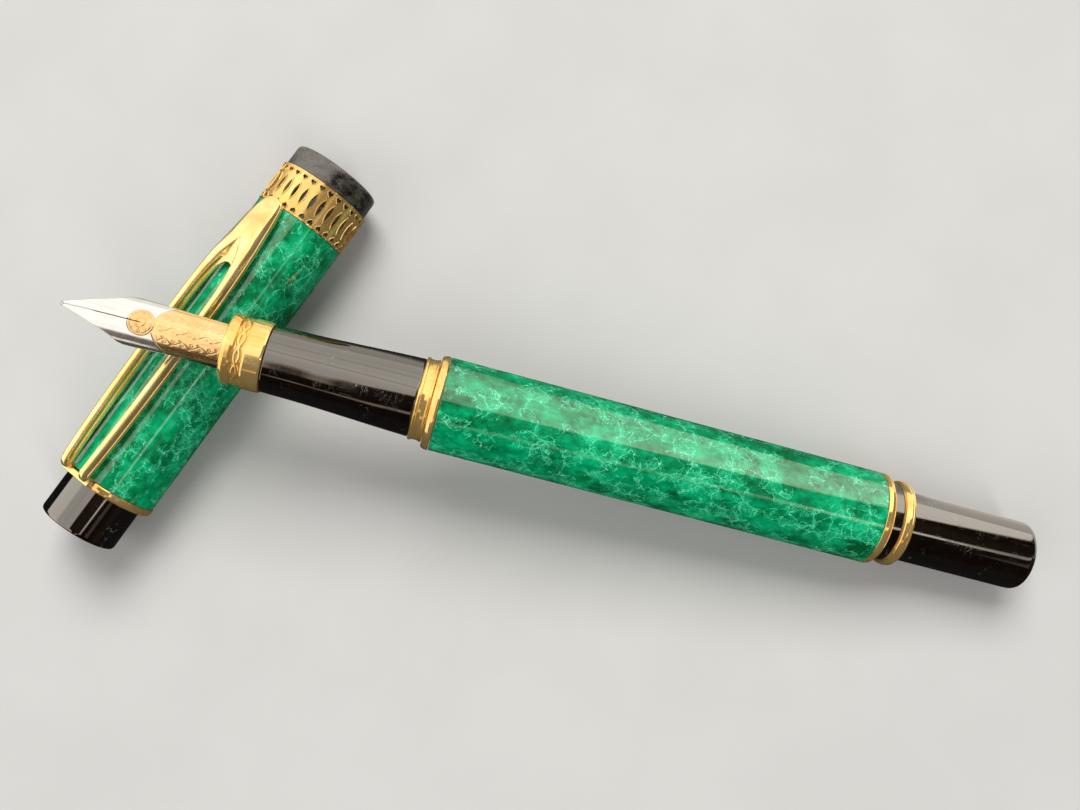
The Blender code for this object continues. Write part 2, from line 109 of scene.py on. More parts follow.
def piece(name, verts, faces, mat, where, body, nodes=(), sharp=None, weighted=False, weld=0.0):
    """An object from points in mm in its local frame; it rides on a body and stands for CAD nodes."""
    if volume_of(verts, faces) < 0:
        faces = [tuple(reversed(f)) for f in faces]
    mesh = bpy.data.meshes.new(name)
    mesh.from_pydata([tuple(float(c) * MM for c in v) for v in verts], [], faces)
    if weld:
        bm = bmesh.new()
        bm.from_mesh(mesh)
        bmesh.ops.remove_doubles(bm, verts=bm.verts, dist=weld * MM)
        bm.to_mesh(mesh)
        bm.free()
    mesh.validate()
    mesh.shade_smooth()
    if sharp is not None:
        mesh.set_sharp_from_angle(angle=radians(sharp))
    mesh.materials.append(mat)
    obj = bpy.data.objects.new(name, mesh)
    PIECES.objects.link(obj)
    obj.matrix_world = where
    if weighted:
        mod = obj.modifiers.new("even_normals", "WEIGHTED_NORMAL")
        mod.keep_sharp = True
        mod.weight = 60
    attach(obj, body)
    if nodes:
        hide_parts(*nodes)
    return obj


def rounded(profile, loop, steps=4, default=0.05):
    """Profile corners (r, z[, fillet]) turned into small arcs, with a support point either side."""
    n = len(profile)
    out = []
    for i, point in enumerate(profile):
        p = Vector(point[:2])
        f = point[2] if len(point) > 2 else default
        if f <= 0 or (not loop and i in (0, n - 1)):
            out.append(p)
            continue
        a, b = Vector(profile[i - 1][:2]) - p, Vector(profile[(i + 1) % n][:2]) - p
        la, lb = a.length, b.length
        a.normalize()
        b.normalize()
        inside = acos(max(-1.0, min(1.0, a.dot(b))))
        if inside > radians(177):
            out.append(p)
            continue
        cut = min(f / tan(inside / 2), 0.42 * la, 0.42 * lb)
        rad = cut * tan(inside / 2)
        centre = p + (a + b).normalized() * (rad / sin(inside / 2))
        v1, v2 = p + a * cut - centre, p + b * cut - centre
        sweep = pi - inside
        lead = min(0.35 * cut, 0.04 * min(la, lb))
        out.append(p + a * (cut + lead))
        count = max(2, round(steps * sweep / (pi / 2)))
        for k in range(count + 1):
            t = k / count
            w = (v1 * sin((1 - t) * sweep) + v2 * sin(t * sweep)) / sin(sweep)
            out.append(centre + w)
        out.append(p + b * (cut + lead))
    return out


def lathe(name, profile, mat, where, body, nodes=(), seg=128, loop=True, shape=None,
          arc=None, default=0.05, steps=4, raw=False, weld=0.0):
    """A turned piece. shape(angle, r, z) may change the radius; arc limits the sweep."""
    pts = [Vector(p[:2]) for p in profile] if raw else rounded(profile, loop, steps, default)
    whole = arc is None
    angles = [2 * pi * j / seg for j in range(seg)] if whole else [
        arc[0] + (arc[1] - arc[0]) * j / seg for j in range(seg + 1)
    ]
    verts, rows = [], []
    for p in pts:
        if p.x < 1e-4:
            rows.append([len(verts)] * len(angles))
            verts.append((0.0, 0.0, p.y))
            continue
        row = []
        for a in angles:
            r = shape(a, p.x, p.y) if shape else p.x
            row.append(len(verts))
            verts.append((r * cos(a), r * sin(a), p.y))
        rows.append(row)
    faces = []
    pairs = list(zip(rows, rows[1:])) + ([(rows[-1], rows[0])] if loop else [])
    for a, b in pairs:
        for j in range(len(angles) if whole else len(angles) - 1):
            k = (j + 1) % len(angles)
            f = []
            for v in (a[j], a[k], b[k], b[j]):
                if v not in f:
                    f.append(v)
            if len(f) > 2:
                faces.append(tuple(f))
    if not whole:
        faces.append(tuple(r[0] for r in rows)[::-1])
        faces.append(tuple(r[-1] for r in rows))
    return piece(name, verts, faces, mat, where, body, nodes,
                 sharp=None if whole else 60, weighted=not whole, weld=weld)


def between(a, b, n):
    return [a + (b - a) * i / n for i in range(n + 1)]


# ------------------------------------------------------------------- materials
def new_material(name):
    mat = bpy.data.materials.new(name)
    mat.use_nodes = True
    tree = mat.node_tree
    return mat, tree, tree.nodes["Principled BSDF"]


def add(tree, kind, **values):
    node = tree.nodes.new(kind)
    for key, value in values.items():
        if key.startswith("in_"):
            node.inputs[key[3:].replace("_", " ")].default_value = value
        else:
            setattr(node, key, value)
    return node


def link(tree, a, b):
    tree.links.new(a, b)


def coords(tree, scale=(1000, 1000, 1000), warp=0.0, warp_scale=1.0, seed=0.0):
    """Object coordinates in mm, stretched by scale, and bent by a noise if asked."""
    tex = add(tree, "ShaderNodeTexCoord")
    mapping = add(tree, "ShaderNodeMapping")
    mapping.inputs["Scale"].default_value = scale
    mapping.inputs["Location"].default_value = (seed, seed * 1.7, seed * 0.6)
    link(tree, tex.outputs["Object"], mapping.inputs["Vector"])
    out = mapping.outputs["Vector"]
    if warp:
        noise = add(tree, "ShaderNodeTexNoise", in_Scale=warp_scale, in_Detail=4.0, in_Roughness=0.6)
        link(tree, out, noise.inputs["Vector"])
        centre = add(tree, "ShaderNodeVectorMath", operation="SUBTRACT")
        centre.inputs[1].default_value = (0.5, 0.5, 0.5)
        link(tree, noise.outputs["Color"], centre.inputs[0])
        grown = add(tree, "ShaderNodeVectorMath", operation="SCALE", in_Scale=warp)
        link(tree, centre.outputs[0], grown.inputs[0])
        total = add(tree, "ShaderNodeVectorMath", operation="ADD")
        link(tree, out, total.inputs[0])
        link(tree, grown.outputs[0], total.inputs[1])
        out = total.outputs[0]
    return out


def noise(tree, vec, scale, detail=3.0, rough=0.55, kind="FBM"):
    node = add(tree, "ShaderNodeTexNoise", in_Scale=scale, in_Detail=detail, in_Roughness=rough)
    node.noise_type = kind
    link(tree, vec, node.inputs["Vector"])
    return node.outputs["Fac"]


def fit(tree, value, a, b, c=0.0, d=1.0, smooth=True):
    node = add(tree, "ShaderNodeMapRange")
    node.interpolation_type = "SMOOTHSTEP" if smooth else "LINEAR"
    node.inputs["From Min"].default_value = a
    node.inputs["From Max"].default_value = b
    node.inputs["To Min"].default_value = c
    node.inputs["To Max"].default_value = d
    link(tree, value, node.inputs["Value"])
    return node.outputs["Result"]


def op(tree, kind, a, b=None, clamp=False):
    node = add(tree, "ShaderNodeMath", operation=kind, use_clamp=clamp)
    for i, v in enumerate((a, b)):
        if v is None:
            continue
        if isinstance(v, (int, float)):
            node.inputs[i].default_value = v
        else:
            link(tree, v, node.inputs[i])
    return node.outputs[0]


def blend(tree, fac, a, b, mode="MIX"):
    node = add(tree, "ShaderNodeMix", data_type="RGBA", blend_type=mode)
    if isinstance(fac, (int, float)):
        node.inputs[0].default_value = fac
    else:
        link(tree, fac, node.inputs[0])
    for i, v in ((6, a), (7, b)):
        if isinstance(v, tuple):
            node.inputs[i].default_value = (*v, 1.0)
        else:
            link(tree, v, node.inputs[i])
    return node.outputs[2]


def bump(tree, shader, height, strength, distance, socket="Normal"):
    node = add(tree, "ShaderNodeBump", in_Strength=strength, in_Distance=distance * MM)
    link(tree, height, node.inputs["Height"])
    link(tree, node.outputs["Normal"], shader.inputs[socket])


def scratch_lines(tree, stretch, scale, low, high, seed):
    """Thin broken lines along one direction, 0 to 1."""
    vec = coords(tree, stretch, warp=0.12, warp_scale=0.5, seed=seed)
    n = noise(tree, vec, scale, 2.0, 0.5)
    line = fit(tree, op(tree, "ABSOLUTE", op(tree, "SUBTRACT", n, 0.5)), low, high, 1.0, 0.0)
    gate = fit(tree, noise(tree, coords(tree, seed=seed + 3), 0.45, 2.0), 0.52, 0.66)
    return op(tree, "MULTIPLY", line, gate)


def gold_material(name, colour, rough=0.12, scratch=0.5, ground=False):
    mat, tree, shader = new_material(name)
    shader.inputs["Metallic"].default_value = 0.77
    wide = noise(tree, coords(tree, seed=2), 0.35, 3.0)
    fine = noise(tree, coords(tree, seed=5), 6.0, 4.0)
    warm = (colour[0] * 0.97, colour[1] * 0.90, colour[2] * 0.78)
    pale = (min(colour[0] * 1.03, 1), min(colour[1] * 1.07, 1), min(colour[2] * 1.2, 1))
    body = blend(tree, fit(tree, wide, 0.35, 0.65), warm, pale)
    sunk = add(tree, "ShaderNodeAttribute", attribute_name="ground").outputs["Fac"] if ground else None
    if ground:
        body = blend(tree, op(tree, "MULTIPLY", sunk, 0.35), body, (colour[0] * 0.86, colour[1] * 0.72, colour[2] * 0.55))
    link(tree, body, shader.inputs["Base Color"])
    lines = scratch_lines(tree, (1000, 1000, 140), 3.0, 0.0, 0.02, 11)
    r = op(tree, "ADD", fit(tree, fine, 0.3, 0.7, rough * 0.7, rough * 1.35), op(tree, "MULTIPLY", lines, 0.12))
    if ground:
        r = op(tree, "ADD", r, op(tree, "MULTIPLY", sunk, 0.10))
    link(tree, r, shader.inputs["Roughness"])
    height = op(tree, "SUBTRACT", op(tree, "MULTIPLY", fine, 0.35), op(tree, "MULTIPLY", lines, 0.6))
    bump(tree, shader, height, 0.022 * scratch, 0.04)
    return mat


def nib_material():
    mat, tree, shader = new_material("nib_two_tone")
    shader.inputs["Metallic"].default_value = 0.94
    plate = add(tree, "ShaderNodeAttribute", attribute_name="plate").outputs["Fac"]
    mark = add(tree, "ShaderNodeAttribute", attribute_name="mark").outputs["Fac"]
    wide = noise(tree, coords(tree, seed=4), 0.5, 3.0)
    fine = noise(tree, coords(tree, (1000, 1000, 260), seed=6), 5.0, 4.0)
    gold = blend(tree, fit(tree, wide, 0.35, 0.65), (0.95, 0.64, 0.29), (1.0, 0.73, 0.38))
    white = blend(tree, fit(tree, wide, 0.35, 0.65), (0.84, 0.88, 0.90), (0.90, 0.93, 0.95))
    body = blend(tree, plate, gold, white)
    # engraved lines: base colour darker and browner where the mark is deep; roughness rises there too
    engraved_tone = blend(tree, op(tree, "MULTIPLY", mark, 0.50), body, (0.46, 0.25, 0.08))
    link(tree, engraved_tone, shader.inputs["Base Color"])
    link(tree, op(tree, "ADD", fit(tree, fine, 0.3, 0.7, 0.10, 0.19), op(tree, "MULTIPLY", mark, 0.16)), shader.inputs["Roughness"])
    bump(tree, shader, fine, 0.02, 0.03)
    return mat


def lacquer_material():
    """Deep emerald, mid-green clouds and pale branching veins under clear gloss."""
    mat, tree, shader = new_material("marbled_lacquer")
    slow = coords(tree, (1000, 1000, 700), warp=2.2, warp_scale=0.40, seed=7)
    bent = coords(tree, (1000, 1000, 850), warp=1.15, warp_scale=0.9, seed=9)
    fine_bent = coords(tree, (1000, 1000, 850), warp=0.62, warp_scale=2.0, seed=19)
    cloud = noise(tree, slow, 0.30, 4.0, 0.55)
    cloud2 = noise(tree, bent, 0.95, 4.0, 0.6)
    tone = op(tree, "ADD", op(tree, "MULTIPLY", cloud, 0.62), op(tree, "MULTIPLY", cloud2, 0.38))
    ramp = add(tree, "ShaderNodeValToRGB")
    ramp.color_ramp.interpolation = "B_SPLINE"
    e = ramp.color_ramp.elements
    e[0].position, e[0].color = 0.36, (0.0, 0.095, 0.028, 1)
    e[1].position, e[1].color = 0.70, (0.010, 0.62, 0.28, 1)
    for pos, col in ((0.43, (0.0, 0.155, 0.050, 1)), (0.50, (0.0, 0.260, 0.094, 1)), (0.56, (0.0, 0.370, 0.144, 1)), (0.63, (0.002, 0.49, 0.205, 1))):
        made = e.new(pos)
        made.color = col
    link(tree, tone, ramp.inputs["Fac"])

    def crack(vector, scale, low, high):
        node = add(tree, "ShaderNodeTexVoronoi", feature="DISTANCE_TO_EDGE", in_Scale=scale, in_Randomness=1.0)
        link(tree, vector, node.inputs["Vector"])
        return fit(tree, node.outputs["Distance"], low, high, 1.0, 0.0)

    def ridge(vector, scale, high, detail=4.0):
        n = noise(tree, vector, scale, detail, 0.62)
        return fit(tree, op(tree, "ABSOLUTE", op(tree, "SUBTRACT", n, 0.5)), 0.25 * high, high, 1.0, 0.0)

    place = noise(tree, slow, 0.42, 3.0, 0.6)
    where = fit(tree, place, 0.44, 0.53)
    where2 = fit(tree, place, 0.51, 0.61)
    broken = fit(tree, noise(tree, fine_bent, 1.7, 3.0, 0.6), 0.34, 0.52, 0.35, 1.0)
    veins = op(tree, "MULTIPLY", op(tree, "MULTIPLY", crack(bent, 0.62, 0.010, 0.034), where), broken)
    fine = op(tree, "MULTIPLY", op(tree, "MULTIPLY", crack(fine_bent, 1.35, 0.010, 0.046), where2), broken)
    webs = op(tree, "MULTIPLY", ridge(fine_bent, 0.75, 0.013), where)
    hair = op(tree, "MULTIPLY", ridge(fine_bent, 1.9, 0.015, 3.0), where2)
    halo = op(tree, "MULTIPLY", crack(bent, 0.62, 0.0, 0.26), where2)
    base = blend(tree, op(tree, "MULTIPLY", halo, 0.32), ramp.outputs["Color"], (0.012, 0.52, 0.23))
    total = op(tree, "MAXIMUM", veins, op(tree, "MAXIMUM", op(tree, "MULTIPLY", fine, 0.85), op(tree, "MAXIMUM", op(tree, "MULTIPLY", webs, 0.90), op(tree, "MULTIPLY", hair, 0.42))))
    base = blend(tree, op(tree, "MULTIPLY", total, 0.82), base, (0.09, 0.80, 0.43))
    knots = op(tree, "MULTIPLY", op(tree, "MULTIPLY", veins, webs), 1.0)
    base = blend(tree, op(tree, "MULTIPLY", knots, 0.65), base, (0.66, 1.0, 0.86))
    link(tree, base, shader.inputs["Base Color"])
    shader.inputs["Roughness"].default_value = 0.5
    shader.inputs["Specular IOR Level"].default_value = 0.0
    shader.inputs["Coat Weight"].default_value = 1.0
    shader.inputs["Coat Roughness"].default_value = 0.03
    shader.inputs["Coat IOR"].default_value = 1.82
    peel = noise(tree, coords(tree, seed=14), 0.8, 2.0)
    lines = scratch_lines(tree, (1000, 1000, 90), 2.4, 0.0, 0.012, 31)
    bump(tree, shader, op(tree, "SUBTRACT", op(tree, "MULTIPLY", peel, 0.5), op(tree, "MULTIPLY", lines, 0.8)), 0.035, 0.06, "Coat Normal")
    return mat


def resin_material(name="black_gloss", wear=1.0, dusty=0.0):
    mat, tree, shader = new_material(name)
    tint = noise(tree, coords(tree, seed=3), 0.6, 3.0)
    base = blend(tree, fit(tree, tint, 0.4, 0.6), (0.0012, 0.0009, 0.0007), (0.0030, 0.0022, 0.0017))
    specks = fit(tree, noise(tree, coords(tree, seed=17), 4.2, 1.0), 0.775 - 0.05 * dusty, 0.81)
    base = blend(tree, op(tree, "MULTIPLY", specks, 0.4 + 0.3 * dusty), base, (0.36, 0.34, 0.32))
    a = scratch_lines(tree, (1000, 1000, 110), 2.6, 0.0, 0.010, 41)
    b = scratch_lines(tree, (330, 330, 1000), 1.6, 0.0, 0.006, 51)
    deep = op(tree, "MULTIPLY", b, fit(tree, noise(tree, coords(tree, seed=77), 0.5, 2.0), 0.50, 0.58))
    lines = op(tree, "MAXIMUM", a, b)
    base = blend(tree, op(tree, "MULTIPLY", deep, 0.9 * min(wear, 1.1)), base, (0.55, 0.50, 0.44))
    link(tree, base, shader.inputs["Base Color"])
    shader.inputs["IOR"].default_value = 2.6
    smudge = fit(tree, noise(tree, coords(tree, seed=8), 0.5, 2.0), 0.42, 0.7, 0.035, 0.035 + 0.03 * wear)
    link(tree, op(tree, "ADD", smudge, op(tree, "MULTIPLY", lines, 0.22 * wear)), shader.inputs["Roughness"])
    bump(tree, shader, op(tree, "SUBTRACT", op(tree, "MULTIPLY", noise(tree, coords(tree, (1000, 1000, 400), seed=12), 0.9, 2.0), 0.4), lines), 0.05 * wear, 0.06)
    return mat


def worn_resin():
    """The rubbed plastic of the cap's mouth: hazy patches, fine pits and pale chips along its edges."""
    mat, tree, shader = new_material("black_worn")
    patch = noise(tree, coords(tree, (1000, 1000, 1600), warp=0.8, warp_scale=1.2, seed=61), 0.9, 5.0, 0.65)
    pits = noise(tree, coords(tree, seed=62), 3.4, 4.0, 0.7)
    chips = fit(tree, noise(tree, coords(tree, seed=63), 2.6, 3.0, 0.7), 0.66, 0.72)
    base = blend(tree, fit(tree, patch, 0.40, 0.62), (0.004, 0.0035, 0.003), (0.05, 0.046, 0.040))
    base = blend(tree, op(tree, "MULTIPLY", chips, 0.6), base, (0.30, 0.28, 0.25))
    link(tree, base, shader.inputs["Base Color"])
    shader.inputs["IOR"].default_value = 2.15
    link(tree, fit(tree, patch, 0.35, 0.65, 0.16, 0.40), shader.inputs["Roughness"])
    lines = scratch_lines(tree, (330, 330, 1000), 1.4, 0.0, 0.02, 65)
    bump(tree, shader, op(tree, "SUBTRACT", op(tree, "ADD", pits, op(tree, "MULTIPLY", patch, 0.8)), lines), 0.35, 0.06)
    return mat


def plain_material(name, dark, light, rough, metallic=0.0, grain=4.0, strength=0.15, stretch=(1000, 1000, 1000), alpha=None, trans=0.0):
    mat, tree, shader = new_material(name)
    n = noise(tree, coords(tree, stretch, seed=1), grain, 4.0)
    link(tree, blend(tree, fit(tree, n, 0.3, 0.7), dark, light), shader.inputs["Base Color"])
    link(tree, fit(tree, n, 0.3, 0.7, rough * 0.8, rough * 1.2), shader.inputs["Roughness"])
    shader.inputs["Metallic"].default_value = metallic
    if trans:
        shader.inputs["Transmission Weight"].default_value = trans
        shader.inputs["IOR"].default_value = 1.45
    bump(tree, shader, n, strength, 0.04)
    return mat


GOLD = gold_material("gilt", (0.99, 0.685, 0.24), 0.09, 0.08)
GOLD_BAND = gold_material("gilt_band", (1.0, 0.70, 0.25), 0.09, 0.35, ground=True)
GOLD_CLIP = gold_material("gilt_clip", (1.0, 0.77, 0.33), 0.11, 0.4)
NIB = nib_material()
LACQUER = lacquer_material()
RESIN = resin_material()
RESIN_LIP = worn_resin()
FEED = plain_material("feed_black", (0.006, 0.006, 0.006), (0.014, 0.014, 0.015), 0.38, grain=5)
BRASS = plain_material("turned_brass", (0.50, 0.33, 0.11), (0.72, 0.52, 0.22), 0.26, 1.0, 2.0, 0.25, (300, 300, 9000))
LINER = plain_material("liner_black", (0.012, 0.012, 0.012), (0.03, 0.03, 0.03), 0.5)
STEEL = plain_material("screw_steel", (0.34, 0.34, 0.35), (0.58, 0.58, 0.59), 0.3, 1.0, 2.0, 0.25, (300, 300, 9000))
NICKEL = plain_material("converter_nickel", (0.60, 0.59, 0.57), (0.74, 0.73, 0.71), 0.13, 1.0, 3.0, 0.05)
KNOB = plain_material("converter_black", (0.012, 0.012, 0.013), (0.024, 0.024, 0.026), 0.35)
CLEAR = plain_material("converter_clear", (0.92, 0.94, 0.95), (0.98, 0.99, 0.99), 0.05, 0.0, 2.0, 0.004, trans=0.95)
SEAL = plain_material("piston_black", (0.02, 0.02, 0.022), (0.045, 0.045, 0.05), 0.5)

# ================================================================== PEN: barrel
lathe("tail_end_look", [
    (0.0, 9.5, 0), (1.04, 10.1, 0), (1.04, 20.9, 0), (2.48, 20.9), (2.48, 17.19), (4.50, 17.19, 0.06),
    (4.45, 1.2, 0.6), (4.42, 0.55, 0.9), (4.16, 0.12, 0.5), (3.95, 0.0, 0.3), (0.0, 0.0, 0),
], RESIN, PEN, "barrel", ["tail_end"], loop=False, steps=6)
lathe("tail_ring_rear_look", [
    (2.55, 18.57), (5.12, 18.57, 0.10), (5.44, 18.40, 0.18), (5.53, 18.00, 0.4), (5.55, 17.72, 0.2),
    (5.47, 17.58, 0.05), (5.50, 17.46, 0.06), (5.42, 17.24, 0.10), (2.55, 17.22),
], GOLD, PEN, "barrel", ["tail_ring_rear"], steps=6)
lathe("tail_spacer_look", [(5.08, 19.85), (5.08, 18.60), (2.55, 18.60), (2.55, 19.85)],
      RESIN, PEN, "barrel", ["tail_spacer"])
lathe("tail_ring_front_look", [
    (2.55, 21.06), (5.90, 21.06, 0.08), (5.92, 20.55, 0.3), (5.86, 20.22, 0.12), (5.66, 19.98, 0.10), (5.40, 19.90, 0.1), (2.55, 19.90),
], GOLD, PEN, "barrel", ["tail_ring_front"], steps=6)

barrel = [(5.93, 77.93, 0.10)] + [(5.93 - 0.03 * (1 - k), 77.0 - (77.0 - 22.0) * (1 - k), 0) for k in between(0.98, 0.02, 14)]
barrel += [(5.90, 21.11, 0.10), (1.20, 21.11), (1.20, 22.01), (5.18, 22.01), (5.18, 77.93)]
lathe("barrel_look", barrel, LACQUER, PEN, "barrel", ["barrel_tube"], seg=160)
lathe("barrel_ring_look", [
    (4.69, 78.97), (5.62, 78.97, 0.06), (5.80, 78.86, 0.10), (5.93, 78.52, 0.25), (5.97, 78.30, 0.12), (5.97, 78.10, 0.1), (5.90, 77.98, 0.05), (4.69, 77.98),
], GOLD, PEN, "barrel", ["barrel_ring"], steps=6)


def coil(low, high, pitch, depth, start, end):
    def shape(a, r, z):
        if not (low - 0.01 <= z <= high + 0.01) or not start <= r <= end:
            return r
        p = (z / pitch - a / (2 * pi)) % 1.0
        ridge = 1 - abs(2 * p - 1)
        fade = min(1.0, (z - low) / 0.4, (high - z) / 0.4)
        return r - depth * (1 - min(1.0, max(0.0, ridge * 1.8 - 0.3))) * max(fade, 0.0)
    return shape


lathe("barrel_bush_look", [(5.15, 77.88), (5.15, 69.02), (4.66, 69.02), (4.66, 77.88)], BRASS, PEN, "barrel_bush", ["barrel_bush"], seg=96)
lathe("tail_screw_look", [
    (0.0, 22.60, 0), (0.55, 22.62, 0.03), (0.62, 22.88, 0.05), (2.10, 22.88, 0.1), (2.20, 22.70, 0.06), (2.20, 22.03), (1.00, 22.03), (1.00, 11.2), (0.0, 10.7, 0),
], STEEL, PEN, "barrel", ["tail_screw"], seg=64, loop=False)

# ================================================================= PEN: section
lathe("clutch_ring_look", [
    (4.17, 80.76), (5.12, 80.76, 0.05), (5.25, 80.64, 0.08), (5.25, 80.40, 0.06), (5.13, 80.30, 0.06), (5.10, 79.90, 0.4),
    (5.13, 79.42, 0.06), (5.24, 79.32, 0.05), (5.24, 79.14, 0.05), (5.10, 79.03, 0.03), (4.17, 79.03),
], GOLD, PEN, "pen", ["clutch_ring"], steps=6)
section_r = curve_of([(80.79, 4.96), (84.5, 4.80), (90.0, 4.52), (95.0, 4.30), (99.56, 4.20)], 1)
section = [(3.92, 101.7), (3.92, 99.56), (4.12, 99.56, 0.05)]
section += [(float(section_r(z)), z, 0) for z in [99.40, 99.37] + between(99.2, 81.15, 26) + [81.03, 81.0]]
section += [(4.90, 80.82, 0.06), (4.15, 80.82), (4.15, 85.95), (3.46, 86.6), (3.46, 101.7)]
lathe("grip_section_look", section, RESIN, PEN, "pen", ["grip_section"], seg=144)
thread = [(4.12, 85.85), (4.12, 79.0), (4.60, 79.0)] + [(4.60, z, 0) for z in between(78.7, 71.0, 96)] + [(4.36, 70.52), (3.78, 70.52), (3.78, 85.85)]
lathe("section_thread_look", thread, BRASS, PEN, "pen", ["section_thread"], seg=96,
      shape=coil(71.2, 77.6, 0.9, 0.20, 4.55, 4.65))
lathe("ink_nipple_look", [(3.75, 85.9), (3.75, 84.0), (1.60, 84.0, 0.2), (1.45, 78.22, 0.2), (0.80, 78.22, 0.1), (0.80, 85.9)],
      KNOB, PEN, "pen", ["ink_nipple"], seg=64)


def braid(a, r, z):
    """The waist of the front ring is chased with two crossing strands, leaving lozenges between them."""
    if not 101.99 <= z <= 103.09 or r > 4.2 or r < 3.9:
        return r
    swing = 0.31 * sin(6 * a)
    lift = 0.0
    for way in (1, -1):
        d = (z - 102.54 - way * swing) / 0.25
        if abs(d) < 1:
            over = 0.5 + 0.5 * way * cos(6 * a)
            lift = max(lift, sqrt(1 - d * d) * (0.80 + 0.20 * over))
    return 4.08 + 0.20 * lift


front = [(3.46, 104.60, 0.04), (4.04, 104.60, 0.10), (4.30, 104.46, 0.16), (4.42, 104.12, 0.25), (4.42, 103.60, 0.25), (4.38, 103.24, 0.10), (4.24, 103.14, 0.04), (4.08, 103.10, 0.02)]
front += [(4.08, 103.08 - 1.08 * k, 0) for k in between(0.0, 1.0, 30)]
front += [(4.08, 101.98, 0.02), (4.24, 101.95, 0.04), (4.38, 101.88, 0.06), (4.43, 101.65, 0.1), (4.43, 99.85, 0.12), (4.34, 99.60, 0.08), (3.97, 99.60), (3.97, 101.84), (3.46, 101.84)]
lathe("front_ring_look", front, GOLD, PEN, "pen", ["front_ring"], seg=288, shape=braid, steps=5)

# =============================================================== PEN: converter
lathe("converter_sleeve_look", [(3.60, 83.5, 0.1), (3.70, 82.9, 0.2), (3.70, 76.9), (3.60, 76.8), (3.60, 76.4), (3.70, 76.3), (3.70, 76.0), (3.36, 76.0), (3.36, 82.0), (1.72, 82.0), (1.72, 83.5)],
      NICKEL, PEN, "converter", ["converter_sleeve"], seg=96)
lathe("converter_tube_look", [(3.30, 81.9), (3.30, 49.1), (2.60, 49.1), (2.60, 81.9)], CLEAR, PEN, "converter", ["converter_tube"], seg=96)
lathe("converter_band_look", [(3.42, 49.05, 0.1), (3.58, 48.8, 0.1), (3.62, 48.3, 0.1), (3.50, 48.15), (3.50, 47.85), (3.62, 47.7, 0.1), (3.62, 45.0, 0.1), (3.5, 44.62, 0.1), (1.06, 44.62), (1.06, 49.05)],
      NICKEL, PEN, "converter", ["converter_band"], seg=96)


def ribs(a, r, z):
    if 30.0 <= z <= 43.2 and r > 3.0:
        return r - 0.16 * abs(sin(a * 14)) ** 0.6
    return r


knob = [(0.0, 29.9, 0), (1.46, 30.1), (1.46, 44.5), (3.45, 44.5, 0.1), (3.45, 43.4, 0.1)] + [(3.43, z, 0) for z in between(43.2, 30.0, 20)]
knob += [(3.45, 29.6, 0.2), (3.0, 28.7, 0.4), (2.6, 28.6, 0.3), (0.0, 28.75, 0)]
lathe("converter_knob_look", knob, KNOB, PEN, "converter_knob", ["converter_knob"], seg=168, loop=False, shape=ribs)
lathe("converter_piston_look", [(0.0, 76.6, 0), (2.2, 76.6, 0.1), (2.55, 76.2, 0.1), (2.55, 75.6), (2.30, 75.4), (2.30, 73.8), (2.55, 73.6), (2.55, 72.9), (2.2, 72.5), (0.0, 72.5, 0)],
      SEAL, PEN, "converter_piston", ["converter_piston"], seg=72, loop=False)
rod = [(0.0, 72.44, 0), (1.0, 72.44)] + [(1.0, z, 0) for z in between(72.0, 44.2, 230)] + [(1.0, 43.62), (0.0, 43.62, 0)]
lathe("converter_rod_look", rod, NICKEL, PEN, "converter_piston", ["converter_rod"], seg=40, loop=False,
      shape=coil(44.6, 71.6, 0.825, 0.16, 0.9, 1.1))

# ==================================================================== PEN: feed
NIB_TABLE = [  # station, half width, top height, arc radius
    (97.0, 2.55, 3.34, 3.34), (100.0, 2.58, 3.34, 3.34), (104.6, 2.63, 3.34, 3.34), (107.0, 2.70, 3.32, 3.36),
    (110.0, 2.82, 3.27, 3.40), (112.0, 2.90, 3.22, 3.43), (113.7, 2.97, 3.15, 3.45), (115.4, 2.99, 3.06, 3.46),
    (116.2, 2.96, 3.00, 3.46), (116.8, 2.85, 2.96, 3.46), (117.3, 2.64, 2.91, 3.46), (117.8, 2.38, 2.86, 3.46),
    (118.4, 2.14, 2.80, 3.46), (119.2, 1.87, 2.71, 3.46), (120.2, 1.56, 2.58, 3.46), (121.2, 1.23, 2.43, 3.46),
    (122.2, 0.90, 2.25, 3.46), (123.0, 0.64, 2.08, 3.46), (123.6, 0.44, 1.95, 3.46), (124.0, 0.31, 1.86, 3.46),
    (124.25, 0.20, 1.80, 3.46),
]
half_at, top_at, arc_at = (curve_of(NIB_TABLE, i) for i in (1, 2, 3))
THICK = 0.34
FEED_TABLE = [
    (88.4, 2.84, -2.84), (104.6, 2.84, -2.84), (107.0, 2.76, -2.58), (109.0, 2.68, -2.24), (110.4, 2.62, -2.00),
    (112.5, 2.46, -1.48), (114.5, 2.24, -0.84), (116.5, 1.84, -0.04), (118.2, 1.38, 0.76), (119.6, 0.98, 1.40), (120.35, 0.66, 1.72),
]
feed_half, feed_low = curve_of(FEED_TABLE, 1), curve_of(FEED_TABLE, 2)


def feed_ring(s, cut):
    half, low = float(feed_half(s)), float(feed_low(s))
    arc = float(arc_at(s)) - THICK - 0.10
    centre = float(top_at(s)) - float(arc_at(s))
    side = centre + sqrt(max(arc * arc - half * half, 0.0))
    ring = []
    for i in range(48):
        a = 2 * pi * i / 48
        x = half * cos(a)
        if i <= 24:
            y = centre + sqrt(max(arc * arc - x * x, 0.0))
        else:
            y = side + (low - side) * abs(sin(a)) ** 0.85
            x *= 1 - cut * 0.12 * abs(sin(a))
            y = side + (y - side) * (1 - cut * (0.22 if abs(sin(a)) > 0.35 else 0.10))
        ring.append((x, y, s))
    return ring


